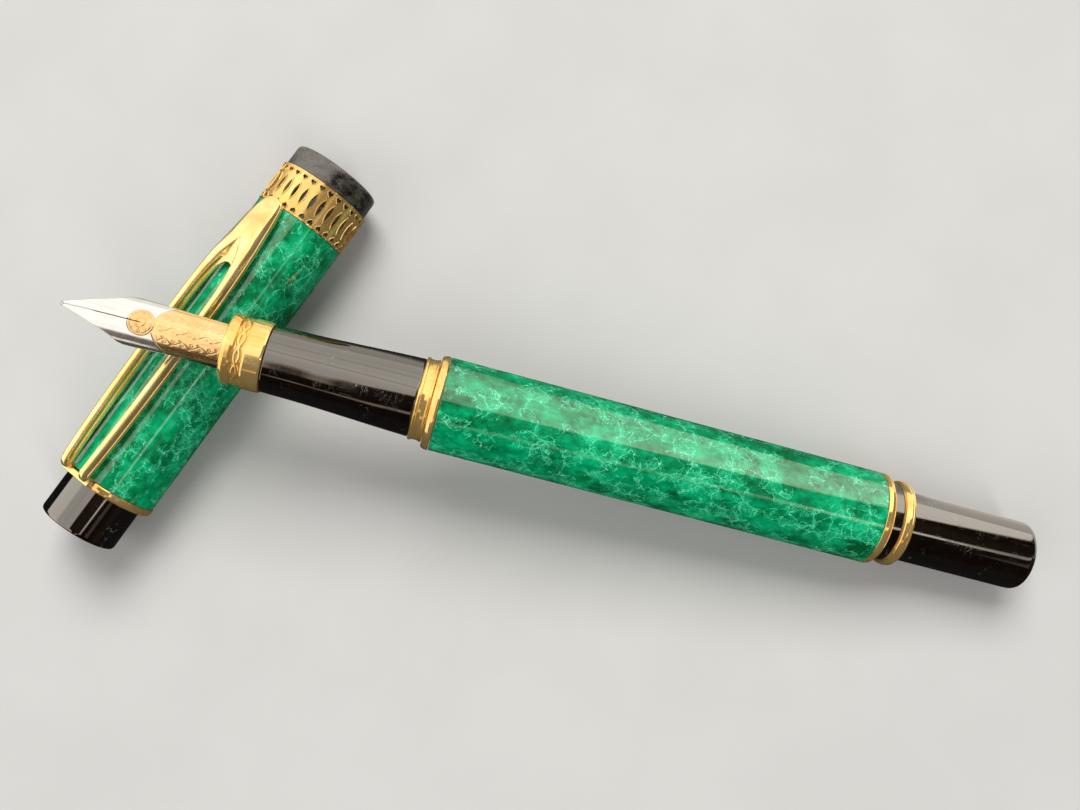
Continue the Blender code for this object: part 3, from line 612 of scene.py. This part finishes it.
stations = [(88.4, 0), (104.7, 0)]
s = 105.3
while s < 116.9:
    stations += [(s, 0), (s + 0.03, 1), (s + 0.30, 1), (s + 0.33, 0)]
    s += 0.78
stations += [(117.6, 0), (118.2, 0), (118.9, 0), (119.6, 0), (120.1, 0), (120.35, 0)]
rings = [feed_ring(a, c) for a, c in stations]
verts = [v for ring in rings for v in ring]
faces = [(k * 48 + i, k * 48 + (i + 1) % 48, (k + 1) * 48 + (i + 1) % 48, (k + 1) * 48 + i) for k in range(len(rings) - 1) for i in range(48)]
faces += [tuple(range(48))[::-1], tuple(range((len(rings) - 1) * 48, len(rings) * 48))]
piece("feed_look", verts, faces, FEED, PEN, "pen", ["feed"], sharp=38, weighted=True)


# ===================================================================== PEN: nib
def nib_marks(w, s):
    """Engraving on the nib's face: w is the distance across, along the curve. Returns depth 0 to 1 and plating 0 to 1."""
    r = np.hypot(w, s - 114.45)
    phi = np.arctan2(w, s - 114.45)
    line = lambda d, width: np.clip(1.6 - np.abs(d) / width, 0, 1)
    disc = r < 1.62
    rosette = np.maximum(line(r - 1.32, 0.05), line(r - 0.52, 0.045))
    petals = line(r - (0.92 + 0.30 * np.cos(8 * phi)), 0.05) * (r < 1.28)
    spokes = line(np.sin(4 * phi) * r / 4, 0.03) * (r > 0.56) * (r < 0.9)
    depth = np.maximum.reduce([line(r - 1.60, 0.055), rosette * disc, petals * disc, spokes * disc])
    # plating boundary: swept back from the medallion to the edges
    edge = 113.35 - 0.30 * np.abs(w) - 0.12 * w * w
    plate = smooth_step(-0.05, 0.05, s - edge) * (1 - smooth_step(1.52, 1.62, 1.62 + 1.52 - r) * (r < 1.62))
    plate = np.where(r < 1.60, 0.0, plate)
    outside = r > 1.72
    depth = np.maximum(depth, line(s - edge, 0.05) * outside)
    half = half_at(s)
    inset = np.asarray(half) * 1.12 - np.abs(w)
    panel = (s < edge - 0.25) & (s > 104.4) & outside
    depth = np.maximum(depth, line(inset - 0.34, 0.05) * panel * 0.9)
    # three rows of leafy vine: a waving stem with a curl in each bend
    ink = np.zeros_like(depth)
    for row, x0 in enumerate((-1.42, 0.0, 1.42)):
        cell = 0.94 + 0.07 * row
        base = 104.7 + 0.31 * row
        k = np.floor((s - base) / cell)
        sway = 1 - 2 * (k % 2)
        ds, dw = s - base - (k + 0.5) * cell, w - x0
        stem = line(dw - 0.25 * np.sin(pi * (s - base) / cell), 0.042)
        curl = np.hypot(ds, dw + 0.10 * sway)
        turn = (curl / 0.17 - np.arctan2(dw + 0.10 * sway, ds) * sway / (2 * pi)) % 1.0
        spiral = np.clip(1.4 - np.abs(turn - 0.5) / 0.16, 0, 1) * (curl < 0.27)
        leaf = line(np.hypot((ds - 0.30) * 0.8, (dw - 0.40 * sway) * 1.5) - 0.11, 0.04)
        ink = np.maximum.reduce([ink, spiral * 0.85, stem, leaf * 0.8])
    room = (inset > 0.55) & (s < edge - 0.45) & (s > 104.9) & (r > 1.95)
    depth = np.maximum(depth, ink * room)
    return np.clip(depth, 0, 1), np.clip(plate, 0, 1)


def build_nib():
    rows = np.concatenate([np.arange(97.0, 104.4, 0.8), np.arange(104.4, 123.4, 0.065), np.arange(123.4, 124.26, 0.05)])
    cols = 62
    verts, marks, plates, quads = [], [], [], []
    index = {}
    for side in (-1, 1):
        for layer in (0, 1):
            grid = []
            for i, s in enumerate(rows):
                arc, top, half = float(arc_at(s)), float(top_at(s)), float(half_at(s))
                gap = 0.055 * float(smooth_step(114.45, 114.60, s))
                full = asin(min(half / arc, 0.999))
                start = asin(gap / arc)
                v = np.linspace(0, 1, cols + 1)
                ang = start + (full - start) * v
                w = ang * arc * side
                depth, plate = nib_marks(w, np.full_like(w, s))
                edge = np.clip((full - ang) * arc / 0.10, 0, 1)
                rim = 0.10 * (1 - np.sqrt(np.clip(1 - (1 - edge) ** 2, 0, 1)))
                lip = np.clip((ang - start) * arc / 0.05, 0, 1) if gap > 0 else np.ones_like(ang)
                crease = 0.03 * (1 - lip) if gap > 0 else 0.0
                thick = THICK * (1.0 if s < 119 else 1 - 0.25 * (s - 119) / 5.3)
                if layer == 0:
                    rad = arc - 0.030 * depth - rim - crease
                else:
                    rad = arc - thick + rim * 0.6
                centre = top - arc
                row = []
                for j in range(cols + 1):
                    x = side * rad[j] * sin(ang[j]) if j or gap > 0 else 0.0
                    y = centre + rad[j] * cos(ang[j])
                    key = (i, layer) if (j == 0 and gap == 0) else None
                    if key is not None and key in index:
                        row.append(index[key])
                        continue
                    if key is not None:
                        index[key] = len(verts)
                    row.append(len(verts))
                    verts.append((x, y, s))
                    marks.append(depth[j] if layer == 0 else 0.0)
                    plates.append(plate[j])
                grid.append(row)
            index[(side, layer, "grid")] = grid
        up, low = index[(side, 0, "grid")], index[(side, 1, "grid")]
        n = len(rows)
        for i in range(n - 1):
            for j in range(cols):
                a = (up[i][j], up[i][j + 1], up[i + 1][j + 1], up[i + 1][j])
                b = (low[i][j], low[i + 1][j], low[i + 1][j + 1], low[i][j + 1])
                quads.append(a if side > 0 else a[::-1])
                quads.append(b if side > 0 else b[::-1])
            a = (up[i][cols], low[i][cols], low[i + 1][cols], up[i + 1][cols])
            quads.append(a if side > 0 else a[::-1])
            slit = up[i][0] != index.get((i, 0)) or up[i + 1][0] != index.get((i + 1, 0))
            if slit:
                a = (up[i][0], up[i + 1][0], low[i + 1][0], low[i][0])
                quads.append(a if side > 0 else a[::-1])
        for j in range(cols):
            a = (up[0][j], low[0][j], low[0][j + 1], up[0][j + 1])
            b = (up[n - 1][j], up[n - 1][j + 1], low[n - 1][j + 1], low[n - 1][j])
            quads.append(a if side > 0 else a[::-1])
            quads.append(b if side > 0 else b[::-1])
    clean = []
    for q in quads:
        f = []
        for v in q:
            if v not in f:
                f.append(v)
        if len(f) > 2:
            clean.append(tuple(f))
    obj = piece("nib_look", verts, clean, NIB, PEN, "pen", ["nib"], sharp=50)
    if len(obj.data.vertices) == len(verts):
        for name, values in (("mark", marks), ("plate", plates)):
            made = obj.data.attributes.new(name, "FLOAT", "POINT")
            made.data.foreach_set("value", np.asarray(values, np.float32))
    else:
        raise RuntimeError("nib mesh lost points")
    return obj


build_nib()
for side in (-1, 1):  # writing pellet, split by the slit
    ring, verts, faces = [], [], []
    for i in range(9):
        a = pi * i / 8
        for j in range(12):
            b = pi * j / 11 - pi / 2
            verts.append((side * (0.055 + 0.24 * sin(a) * max(cos(b), 0.0)), 1.64 + 0.26 * sin(a) * sin(b), 124.02 + 0.34 * cos(a)))
    for i in range(8):
        for j in range(12):
            k = (j + 1) % 12
            faces.append((i * 12 + j, i * 12 + k, (i + 1) * 12 + k, (i + 1) * 12 + j))
    piece(f"nib_pellet_{'left' if side < 0 else 'right'}", verts, faces, NICKEL, PEN, "pen", (), sharp=50, weld=0.001)

# ==================================================================== CAP: body
lathe("mouth_sleeve_look", [
    (5.50, 3.00, 0.10), (5.78, 3.02, 0.12), (6.02, 2.84, 0.16), (6.10, 2.50, 0.20), (6.10, 0.02, 0.05), (5.95, 0.02, 0.02), (5.95, -5.66),
    (5.66, -5.66), (5.66, -9.2), (5.28, -9.2), (5.28, 2.80, 0.15),
], RESIN_LIP, CAP, "cap", ["mouth_sleeve"], seg=144, steps=6)
tube = [(6.30, -5.71, 0.05)] + [(6.30 - 0.03 * k, -6.2 - 40.4 * k, 0) for k in between(0.0, 1.0, 12)]
tube += [(6.27, -47.07, 0.08), (1.20, -47.07), (1.20, -45.94), (5.70, -45.94), (5.70, -5.71)]
lathe("cap_tube_look", tube, LACQUER, CAP, "cap", ["cap_tube"], seg=160)
lathe("cap_liner_look", [(5.64, -9.25), (5.64, -45.9), (1.20, -45.9), (1.20, -45.0), (5.02, -45.0, 0.6), (5.02, -9.25, 0.15)],
      LINER, CAP, "cap", ["cap_liner"], seg=96)
lathe("finial_screw_look", [
    (0.0, -44.46, 0), (0.55, -44.44, 0.03), (0.62, -44.18, 0.05), (2.10, -44.18, 0.1), (2.20, -44.36, 0.06), (2.20, -44.98), (1.00, -44.98), (1.00, -50.9), (0.0, -51.3, 0),
], STEEL, CAP, "cap", ["finial_screw"], seg=64, loop=False)
lathe("finial_look", [
    (0.0, -52.0, 0), (1.04, -51.6, 0), (1.04, -48.21, 0), (5.10, -48.21, 0.06), (5.12, -48.6, 0.2), (5.12, -53.75, 0.35), (5.03, -54.02, 0.15), (4.80, -54.14, 0.12), (0.0, -54.14, 0),
], RESIN, CAP, "cap", ["finial"], seg=144, loop=False, steps=6)
gap = asin(2.62 / 6.3)
lathe("crown_ring_look", [
    (1.20, -47.12), (6.26, -47.12, 0.08), (6.36, -47.28, 0.10), (6.36, -47.70, 0.3), (6.28, -47.98, 0.12), (6.10, -48.14, 0.06), (1.20, -48.16),
], GOLD, CLIP, "cap", ["crown_ring"], seg=150, arc=(pi / 2 + gap, 2 * pi + pi / 2 - gap), steps=5)


# ===================================================== CAP: pierced filigree band
def build_band():
    count, outer, low, high = 30, 6.39, -5.66, -0.04
    width = 2 * pi * outer / count
    mid = -2.90
    relief, thick = 0.09, 0.34

    def lens(extra, n=11):
        w, h = 0.262 + extra, 1.22 + extra * 1.5
        ys = [h * sin(pi / 2 * k) for k in between(-1.0, 1.0, n)]
        right = [(w * (1 - (y / h) ** 2), mid + y) for y in ys[1:-1]]
        left = [(-x, y) for x, y in reversed(right)]
        return [(0.0, mid - h)] + right + [(0.0, mid + h)] + left

    def heart(grow, way, n=22):
        out = []
        for i in range(n):
            a = 2 * pi * (i + 0.5) / n
            x = 16 * sin(a) ** 3
            y = 13 * cos(a) - 4.2 * cos(2 * a) - 2 * cos(3 * a) - 0.8 * cos(4 * a)
            out.append((x * 0.375 / 16 * grow, mid + way * (2.20 + (y + 1.5) * 0.345 / 14 * grow)))
        return out

    loops = [(lens(0.0), outer, True), (lens(0.115), outer, False), (lens(0.165), outer - relief, False)]
    for way in (1, -1):
        loops += [(heart(1.0, way), outer, True), (heart(1.26, way), outer, False), (heart(1.38, way), outer - relief, False)]
    pts, rad, edges, holes = [], [], [], []
    for loop, r, is_hole in loops:
        first = len(pts)
        pts += [Vector(p) for p in loop]
        rad += [r] * len(loop)
        edges += [(first + i, first + (i + 1) % len(loop)) for i in range(len(loop))]
        if is_hole:
            holes.append(loop)
    xs = between(-width / 2, width / 2, 8)
    for t, r in ((high, outer), (high - 0.14, outer), (high - 0.18, outer - relief), (low + 0.18, outer - relief), (low + 0.14, outer), (low, outer)):
        first = len(pts)
        pts += [Vector((x, t)) for x in xs]
        rad += [r] * len(xs)
        edges += [(first + i, first + i + 1) for i in range(len(xs) - 1)]
    for x in (-width / 2, width / 2):
        column = [i for i, p in enumerate(pts) if abs(p.x - x) < 1e-6]
        for t in between(low + 0.42, high - 0.42, 12):
            column.append(len(pts))
            pts.append(Vector((x, t)))
            rad.append(outer - relief)
        column.sort(key=lambda i: pts[i].y)
        edges += list(zip(column, column[1:]))
    for x in (-width * 0.36, width * 0.36):
        for t in between(low + 1.0, high - 1.0, 9):
            pts.append(Vector((x, t)))
            rad.append(outer - relief)
    v2, _, f2, source, _, _ = delaunay_2d_cdt(pts, edges, [], 0, 1e-5, True)

    def within(p, loop):
        hit = False
        for i in range(len(loop)):
            a, b = loop[i], loop[i - 1]
            if (a[1] > p[1]) != (b[1] > p[1]) and p[0] < (b[0] - a[0]) * (p[1] - a[1]) / (b[1] - a[1]) + a[0]:
                hit = not hit
        return hit

    radii = [rad[src[0]] if src else outer - relief for src in source]
    kept = []
    for f in f2:
        c = sum((v2[i] for i in f), Vector((0, 0))) / len(f)
        if not any(within(c, h) for h in holes):
            kept.append(tuple(f))
    bm = bmesh.new()
    start = radians(-1.9)
    for cell in range(count):
        base = start + cell * 2 * pi / count
        made = []
        for p, r in zip(v2, radii):
            a = base + p.x / outer
            made.append(bm.verts.new((r * sin(a) * MM, r * cos(a) * MM, p.y * MM)))
        for f in kept:
            bm.faces.new([made[i] for i in f])
    bmesh.ops.remove_doubles(bm, verts=bm.verts, dist=0.003 * MM)
    bmesh.ops.recalc_face_normals(bm, faces=bm.faces)
    if sum(f.normal.dot(Vector((f.calc_center_median().x, f.calc_center_median().y, 0))) for f in bm.faces) < 0:
        bmesh.ops.reverse_faces(bm, faces=bm.faces)
    # inner skin and the walls of every opening
    twins = {}
    for v in list(bm.verts):
        r = sqrt(v.co.x ** 2 + v.co.y ** 2)
        k = (outer - thick) * MM / r
        twins[v] = bm.verts.new((v.co.x * k, v.co.y * k, v.co.z))
    for f in list(bm.faces):
        if all(v in twins for v in f.verts):
            bm.faces.new([twins[v] for v in reversed(f.verts)])
    for e in [e for e in bm.edges if len(e.link_faces) == 1 and all(v in twins for v in e.verts)]:
        loop = e.link_loops[0]
        a, b = loop.vert, loop.link_loop_next.vert
        bm.faces.new((b, a, twins[a], twins[b]))
    rims = [e for e in bm.edges if len(e.link_faces) == 2 and e.calc_face_angle(0) > radians(70)
            and all(v in twins for v in e.verts)]
    bmesh.ops.bevel(bm, geom=rims, offset=0.035 * MM, offset_type="OFFSET", segments=2, profile=0.5, affect="EDGES", clamp_overlap=True)
    bmesh.ops.recalc_face_normals(bm, faces=bm.faces)
    mesh = bpy.data.meshes.new("cap_band_look")
    bm.to_mesh(mesh)
    bm.free()
    mesh.shade_smooth()
    mesh.set_sharp_from_angle(angle=radians(40))
    normals = [(0.0, 0.0, 0.0)] * len(mesh.loops)
    for polygon in mesh.polygons:
        c = polygon.center
        around = Vector((c.x, c.y, 0)).normalized()
        if polygon.normal.dot(around) < 0.985:
            continue
        for index in polygon.loop_indices:
            co = mesh.vertices[mesh.loops[index].vertex_index].co
            normals[index] = Vector((co.x, co.y, 0)).normalized()[:]
    mesh.normals_split_custom_set(normals)
    mesh.materials.append(GOLD_BAND)
    low_here = [1.0 if sqrt(v.co.x ** 2 + v.co.y ** 2) < (outer - 0.6 * relief) * MM else 0.0 for v in mesh.vertices]
    made = mesh.attributes.new("ground", "FLOAT", "POINT")
    made.data.foreach_set("value", np.asarray(low_here, np.float32))
    obj = bpy.data.objects.new("cap_band_look", mesh)
    PIECES.objects.link(obj)
    obj.matrix_world = CAP
    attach(obj, "cap")
    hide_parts("cap_band")
    return obj


build_band()

# ==================================================================== CAP: clip
CLIP_TABLE = [
    # t, inner edge, inner shoulder, outer edge, peak height, flange height, recess floor, underside
    (-46.6, 1.00, 1.02, 2.46, 8.18, 7.42, 7.42, 6.98),
    (-45.0, 1.11, 1.13, 2.61, 8.24, 7.42, 7.42, 6.96),
    (-41.0, 1.30, 1.32, 2.80, 8.27, 7.42, 7.42, 6.96),
    (-35.0, 1.47, 1.49, 2.97, 8.28, 7.42, 7.42, 6.96),
    (-28.0, 1.55, 1.57, 3.05, 8.28, 7.42, 7.42, 6.96),
    (-21.0, 1.50, 1.52, 3.04, 8.28, 7.42, 7.42, 6.94),
    (-18.0, 1.32, 1.34, 2.96, 8.29, 7.42, 7.42, 6.92),
    (-16.6, 1.12, 1.15, 2.89, 8.30, 7.42, 7.42, 6.90),
    (-15.9, 0.86, 1.02, 2.85, 8.31, 7.42, 7.30, 6.90),
    (-15.45, 0.50, 0.95, 2.83, 8.32, 7.42, 7.24, 6.90),
    (-15.25, 0.0, 0.92, 2.81, 8.32, 7.42, 7.26, 6.90),
    (-14.0, 0.0, 0.64, 2.72, 8.34, 7.42, 7.68, 6.88),
    (-12.6, 0.0, 0.28, 2.60, 8.36, 7.42, 8.16, 6.86),
    (-11.7, 0.0, 0.03, 2.50, 8.36, 7.42, 8.35, 6.84),
    (-9.6, 0.0, 0.02, 2.26, 8.26, 7.40, 8.26, 6.80),
    (-7.6, 0.0, 0.02, 1.99, 8.04, 7.34, 8.04, 6.76),
    (-6.3, 0.0, 0.02, 1.70, 7.80, 7.28, 7.80, 6.74),
    (-5.6, 0.0, 0.02, 1.34, 7.60, 7.22, 7.60, 6.78),
    (-5.25, 0.0, 0.02, 0.95, 7.46, 7.16, 7.46, 6.84),
    (-5.08, 0.0, 0.02, 0.40, 7.34, 7.10, 7.34, 6.92),
]


def clip_half(side):
    cuts = [curve_of(CLIP_TABLE, i) for i in range(1, 8)]
    stations = np.concatenate([
        np.linspace(-46.6, -18.0, 26, endpoint=False), np.linspace(-18.0, -15.5, 12, endpoint=False),
        np.linspace(-15.5, -15.25, 5, endpoint=False), np.linspace(-15.25, -11.4, 22, endpoint=False),
        np.linspace(-11.4, -6.3, 18, endpoint=False), np.linspace(-6.3, -5.08, 16),
    ])
    rings = []

    def section(x_in, x_v, x_out, peak, flange, floor, under, w):
        """Points from the inner edge over the top to the outer edge and back underneath."""
        fl = 0.15
        pts = [(x_in, floor - 0.02), (x_in + 0.35 * (x_v - x_in), floor), (x_v, floor)]
        a, b = x_v + (0.13 * (1 - w)) + 0.02, x_out - fl
        top = []
        for v in between(0.0, 1.0, 18):
            arm = (max(0.0, 1 - abs(2 * v - 1) ** 3.6)) ** (1 / 2.2)
            full = (max(0.0, 1 - v ** 3.2)) ** (1 / 2.0)
            top.append((a + (b - a) * v, flange + (peak - flange) * (arm * (1 - w) + full * w)))
        if w < 0.5 and floor <= flange + 0.001:
            pts[2] = (x_v + 0.10 * (1 - w), flange)
        pts += top
        pts += [(b + 0.03, flange - 0.015), (x_out - 0.045, flange - 0.01), (x_out - 0.012, flange - 0.045), (x_out, flange - 0.10)]
        pts += [(x_out, under + 0.12), (x_out - 0.03, under + 0.04), (x_out - 0.10, under)]
        pts += [(x_in + (x_out - x_in) * 0.5, under), (x_in + min(0.10, 0.4 * (x_out - x_in)), under)]
        pts += [(x_in, under + 0.10)]
        return pts

    # the root: the bar turns down into the crown
    first = section(*[float(c(-46.6)) for c in cuts], 0.0)
    centre_y, pivot_y, pivot_t = 7.60, 6.60, -46.6
    bend = []
    for k in (1.0, 0.92, 0.84, 0.76, 0.68, 0.60, 0.52, 0.44, 0.36, 0.28, 0.20, 0.12, 0.06):
        a = radians(90) * k
        shrink = 1 - 0.16 * k
        ring = []
        mid_x = (first[0][0] + first[-6][0]) / 2
        for x, y in first:
            rise = (y - pivot_y) * (1 - 0.32 * k)
            ring.append((side * (mid_x + (x - mid_x) * shrink), pivot_y + rise * cos(a), pivot_t - rise * sin(a)))
        bend.append(ring)
    drop = [(x, y - 1.6, t) for x, y, t in bend[0]]
    rings.append(drop)
    rings += bend
    for t in stations:
        w = float(smooth_step(-15.6, -11.6, t))
        rings.append([(side * x, y, float(t)) for x, y in section(*[float(c(t)) for c in cuts], w)])
    return rings


def build_clip():
    verts, faces = [], []
    for side in (-1, 1):
        rings = clip_half(side)
        n = len(rings[0])
        first = len(verts)
        verts += [p for ring in rings for p in ring]
        for k in range(len(rings) - 1):
            for i in range(n):
                j = (i + 1) % n
                f = (first + k * n + i, first + k * n + j, first + (k + 1) * n + j, first + (k + 1) * n + i)
                if all(abs(verts[v][0]) < 1e-6 for v in f):
                    continue
                faces.append(f if side < 0 else f[::-1])
        a = tuple(first + i for i in range(n))
        b = tuple(first + (len(rings) - 1) * n + i for i in range(n))
        faces.append(a[::-1] if side < 0 else a)
        faces.append(b if side < 0 else b[::-1])
    return piece("clip_look", verts, faces, GOLD_CLIP, CLIP, "clip", ["clip"], sharp=42, weighted=True, weld=0.002)


build_clip()


def rounded_block(name, low, high, bevel, mat, where, body, nodes=(), round_top=0.0):
    bm = bmesh.new()
    bmesh.ops.create_cube(bm, size=1.0)
    bmesh.ops.scale(bm, vec=[(b - a) * MM for a, b in zip(low, high)], verts=bm.verts)
    bmesh.ops.translate(bm, vec=[(b + a) / 2 * MM for a, b in zip(low, high)], verts=bm.verts)
    bmesh.ops.bevel(bm, geom=bm.edges[:], offset=bevel * MM, segments=4, profile=0.5, affect="EDGES")
    mesh = bpy.data.meshes.new(name)
    bm.to_mesh(mesh)
    bm.free()
    mesh.shade_smooth()
    mesh.materials.append(mat)
    obj = bpy.data.objects.new(name, mesh)
    PIECES.objects.link(obj)
    obj.matrix_world = where
    mod = obj.modifiers.new("even_normals", "WEIGHTED_NORMAL")
    mod.weight = 60
    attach(obj, body)
    return obj


rounded_block("clip_root_look", (-2.40, 2.4, -48.02), (2.40, 6.62, -47.24), 0.12, GOLD_CLIP, CLIP, "clip")

# ============================================================ floor, light, view
mat, tree, shader = new_material("pale_floor")
shade = noise(tree, coords(tree, (60, 60, 60), seed=1), 1.0, 3.0)
link(tree, blend(tree, fit(tree, shade, 0.3, 0.7), (0.545, 0.540, 0.530), (0.565, 0.560, 0.550)), shader.inputs["Base Color"])
shader.inputs["Roughness"].default_value = 0.75
shader.inputs["Specular IOR Level"].default_value = 0.2
mesh = bpy.data.meshes.new("floor")
mesh.from_pydata([(-2, -2, 0), (2, -2, 0), (2, 2, 0), (-2, 2, 0)], [], [(0, 1, 2, 3)])
mesh.materials.append(mat)
floor = bpy.data.objects.new("floor", mesh)
floor.location = (0, 0, -0.00002)
bpy.context.scene.collection.objects.link(floor)


def hidden_from_view(obj):
    obj.visible_camera = False
    obj.visible_diffuse = False
    obj.visible_shadow = False


def room(u, v):
    """Brightness of the reflected room by direction, seen from above with the horizon at radius 1."""
    edge = np.interp(v, [-1.0, -0.6, -0.3, -0.2, -0.1, 0.04, 0.12, 0.25, 0.5, 1.0], [0.05, 0.06, 0.05, 0.02, 0.0, 0.03, 0.09, 0.17, 0.21, 0.30])
    left = smooth_step(-0.012, 0.012, edge - u)
    ripple = 0.5 + 0.5 * np.sin(v * 31.0 + 1.3 * np.sin(u * 5.0)) * np.sin(v * 12.7 + 0.8)
    beam = np.exp(-(((v - 0.17) / 0.018) ** 2)) + 0.8 * np.exp(-(((v - 0.42) / 0.02) ** 2)) + 0.6 * np.exp(-(((v + 0.36) / 0.02) ** 2))
    level = 1.16 + 0.12 * ripple
    north = smooth_step(0.05, 0.14, v)
    level = level + north * (0.25 * smooth_step(-0.28, -0.04, u) + 0.65 * smooth_step(0.03, 0.11, u))
    level = level + 0.60 * smooth_step(0.34, 0.44, -u) * (1 - north)
    level = level - 0.08 * smooth_step(-0.24, -0.20, u) * (1 - smooth_step(-0.15, -0.12, u)) * (v < 0.06) * (v > -0.14)
    level = level * (1 - 0.28 * np.clip(beam, 0, 1) * (u < 0.05))
    low = 0.93 * smooth_step(0.49, 0.57, -v) * (1 - 0.85 * smooth_step(0.82, 0.90, -v)) * smooth_step(-0.16, -0.06, u)
    level = level * (1 - low)
    overhead = np.exp(-(((u - 0.17) / 0.16) ** 2) - (((v - 0.05) / 0.22) ** 2))
    glow = 0.014 + 0.06 * overhead * (1 - left) + left * level
    middle = np.interp(v, [-0.62, -0.50, -0.30, -0.08, 0.03, 0.14], [0.12, 0.16, 0.235, 0.31, 0.36, 0.385])
    strip = smooth_step(-0.004, 0.010, 0.026 - np.abs(u - middle)) * (v > -0.60) * (v < 0.14)
    glow = glow + (0.6 + 1.2 * smooth_step(-0.16, -0.06, v)) * (1 - 0.55 * smooth_step(-0.01, 0.04, v)) * strip
    side = smooth_step(0.43, 0.45, u) * (1 - smooth_step(0.53, 0.55, u)) * smooth_step(-0.17, -0.14, v) * (1 - smooth_step(0.10, 0.14, v))
    glow = glow + 0.15 * side + 0.03 * smooth_step(0.6, 0.9, u)
    warm = np.clip(1 - left + 0.8 * low - strip - 0.6 * side, 0, 1)
    return glow, warm


def build_room(radius):
    around, up = 360, 110
    verts, glows, faces = [], [], []
    for i in range(up + 1):
        r = 1.03 * i / up
        polar = 2 * np.arctan(r)
        for j in range(around):
            a = 2 * pi * j / around
            verts.append((radius * sin(polar) * cos(a), radius * sin(polar) * sin(a), radius * cos(polar)))
            glows.append((r * cos(a), r * sin(a)))
    for i in range(up):
        for j in range(around):
            k = (j + 1) % around
            faces.append((i * around + j, i * around + k, (i + 1) * around + k, (i + 1) * around + j))
    mesh = bpy.data.meshes.new("room")
    mesh.from_pydata(verts, [], faces)
    uv = np.array(glows)
    made = mesh.attributes.new("glow", "FLOAT", "POINT")
    glow, warm = room(uv[:, 0], uv[:, 1])
    made.data.foreach_set("value", glow.astype(np.float32))
    made = mesh.attributes.new("warm", "FLOAT", "POINT")
    made.data.foreach_set("value", warm.astype(np.float32))
    mat = bpy.data.materials.new("room")
    mat.use_nodes = True
    tree = mat.node_tree
    tree.nodes.clear()
    out = tree.nodes.new("ShaderNodeOutputMaterial")
    emit = tree.nodes.new("ShaderNodeEmission")
    value = add(tree, "ShaderNodeAttribute", attribute_name="glow")
    link(tree, value.outputs["Fac"], emit.inputs["Strength"])
    value = add(tree, "ShaderNodeAttribute", attribute_name="warm")
    link(tree, blend(tree, value.outputs["Fac"], (1.0, 0.91, 0.79), (1.0, 0.60, 0.36)), emit.inputs["Color"])
    link(tree, emit.outputs[0], out.inputs["Surface"])
    mesh.materials.append(mat)
    obj = bpy.data.objects.new("room", mesh)
    bpy.context.scene.collection.objects.link(obj)
    hidden_from_view(obj)


build_room(2.4)
floor.visible_glossy = False
mat = bpy.data.materials.new("dark_surround")
mat.use_nodes = True
tree = mat.node_tree
tree.nodes.clear()
out = tree.nodes.new("ShaderNodeOutputMaterial")
emit = tree.nodes.new("ShaderNodeEmission")
emit.inputs["Color"].default_value = (1.0, 0.91, 0.79, 1)
value = add(tree, "ShaderNodeAttribute", attribute_name="glow")
link(tree, value.outputs["Fac"], emit.inputs["Strength"])
link(tree, emit.outputs[0], out.inputs["Surface"])
mesh = bpy.data.meshes.new("dark_surround")
steps = np.concatenate([np.linspace(-3, -0.2, 8), np.linspace(-0.18, 0.18, 73), np.linspace(0.2, 3, 8)])
n = len(steps)
mesh.from_pydata([(float(x), float(y), -0.0006) for y in steps for x in steps], [],
                 [(i * n + j, i * n + j + 1, (i + 1) * n + j + 1, (i + 1) * n + j) for i in range(n - 1) for j in range(n - 1)])
gx, gy = np.tile(steps, n), np.repeat(steps, n)
off = (gx - 0.05703) * -0.3489 + (gy - 0.0311) * 0.93716
made = mesh.attributes.new("glow", "FLOAT", "POINT")
glow = 0.02 + 1.16 * smooth_step(0.034, 0.046, gx) * smooth_step(0.002, 0.008, off) + 0.05 * smooth_step(0.0, 0.03, off) + 0.8 * smooth_step(0.030, 0.042, -gx) * smooth_step(0.018, 0.03, gy)
made.data.foreach_set("value", glow.astype(np.float32))
mesh.materials.append(mat)
surround = bpy.data.objects.new("dark_surround", mesh)
bpy.context.scene.collection.objects.link(surround)
hidden_from_view(surround)


def area(name, at, size, power, colour=(1, 0.98, 0.95), size_y=None, glossy=False):
    data = bpy.data.lights.new(name, "AREA")
    data.shape = "RECTANGLE"
    data.size = size
    data.size_y = size_y or size
    data.energy = power
    data.color = colour
    obj = bpy.data.objects.new(name, data)
    bpy.context.scene.collection.objects.link(obj)
    obj.location = at
    obj.rotation_euler = (-Vector(at)).to_track_quat("-Z", "Y").to_euler()
    obj.visible_glossy = glossy
    return obj


area("key", (-0.55, 0.75, 1.25), 0.9, 25.0, (1.0, 0.985, 0.955))
area("strip_light", (0.85, -0.45, 1.15), 0.25, 6.5, (1.0, 0.98, 0.95), 1.3)
area("fill", (-0.5, -0.9, 1.0), 1.1, 4.2, (0.97, 0.98, 1.0))

world = bpy.data.worlds.new("studio")
bpy.context.scene.world = world
world.use_nodes = True
world.node_tree.nodes["Background"].inputs["Color"].default_value = (0.80, 0.79, 0.77, 1)
world.node_tree.nodes["Background"].inputs["Strength"].default_value = 0.27

camera = bpy.data.cameras.new("camera")
camera.sensor_fit = "HORIZONTAL"
camera.sensor_width = 36.0
camera.lens = 1099.49 / 1080 * 36.0
camera.clip_start, camera.clip_end = 0.002, 20.0
eye = bpy.data.objects.new("camera", camera)
bpy.context.scene.collection.objects.link(eye)
right = Vector((0.82357569, 0.56718817, 0.00454577))
up = Vector((-0.56340284, 0.81710016, 0.12216616))
back = -Vector((-0.06557685, 0.10317418, -0.99249925))
m = Matrix((right, up, back)).transposed().to_4x4()
m.translation = Vector((3.804, -3.056, 149.130)) * MM
eye.matrix_world = m
bpy.context.scene.camera = eye
bpy.context.scene.view_settings.view_transform = "Standard"
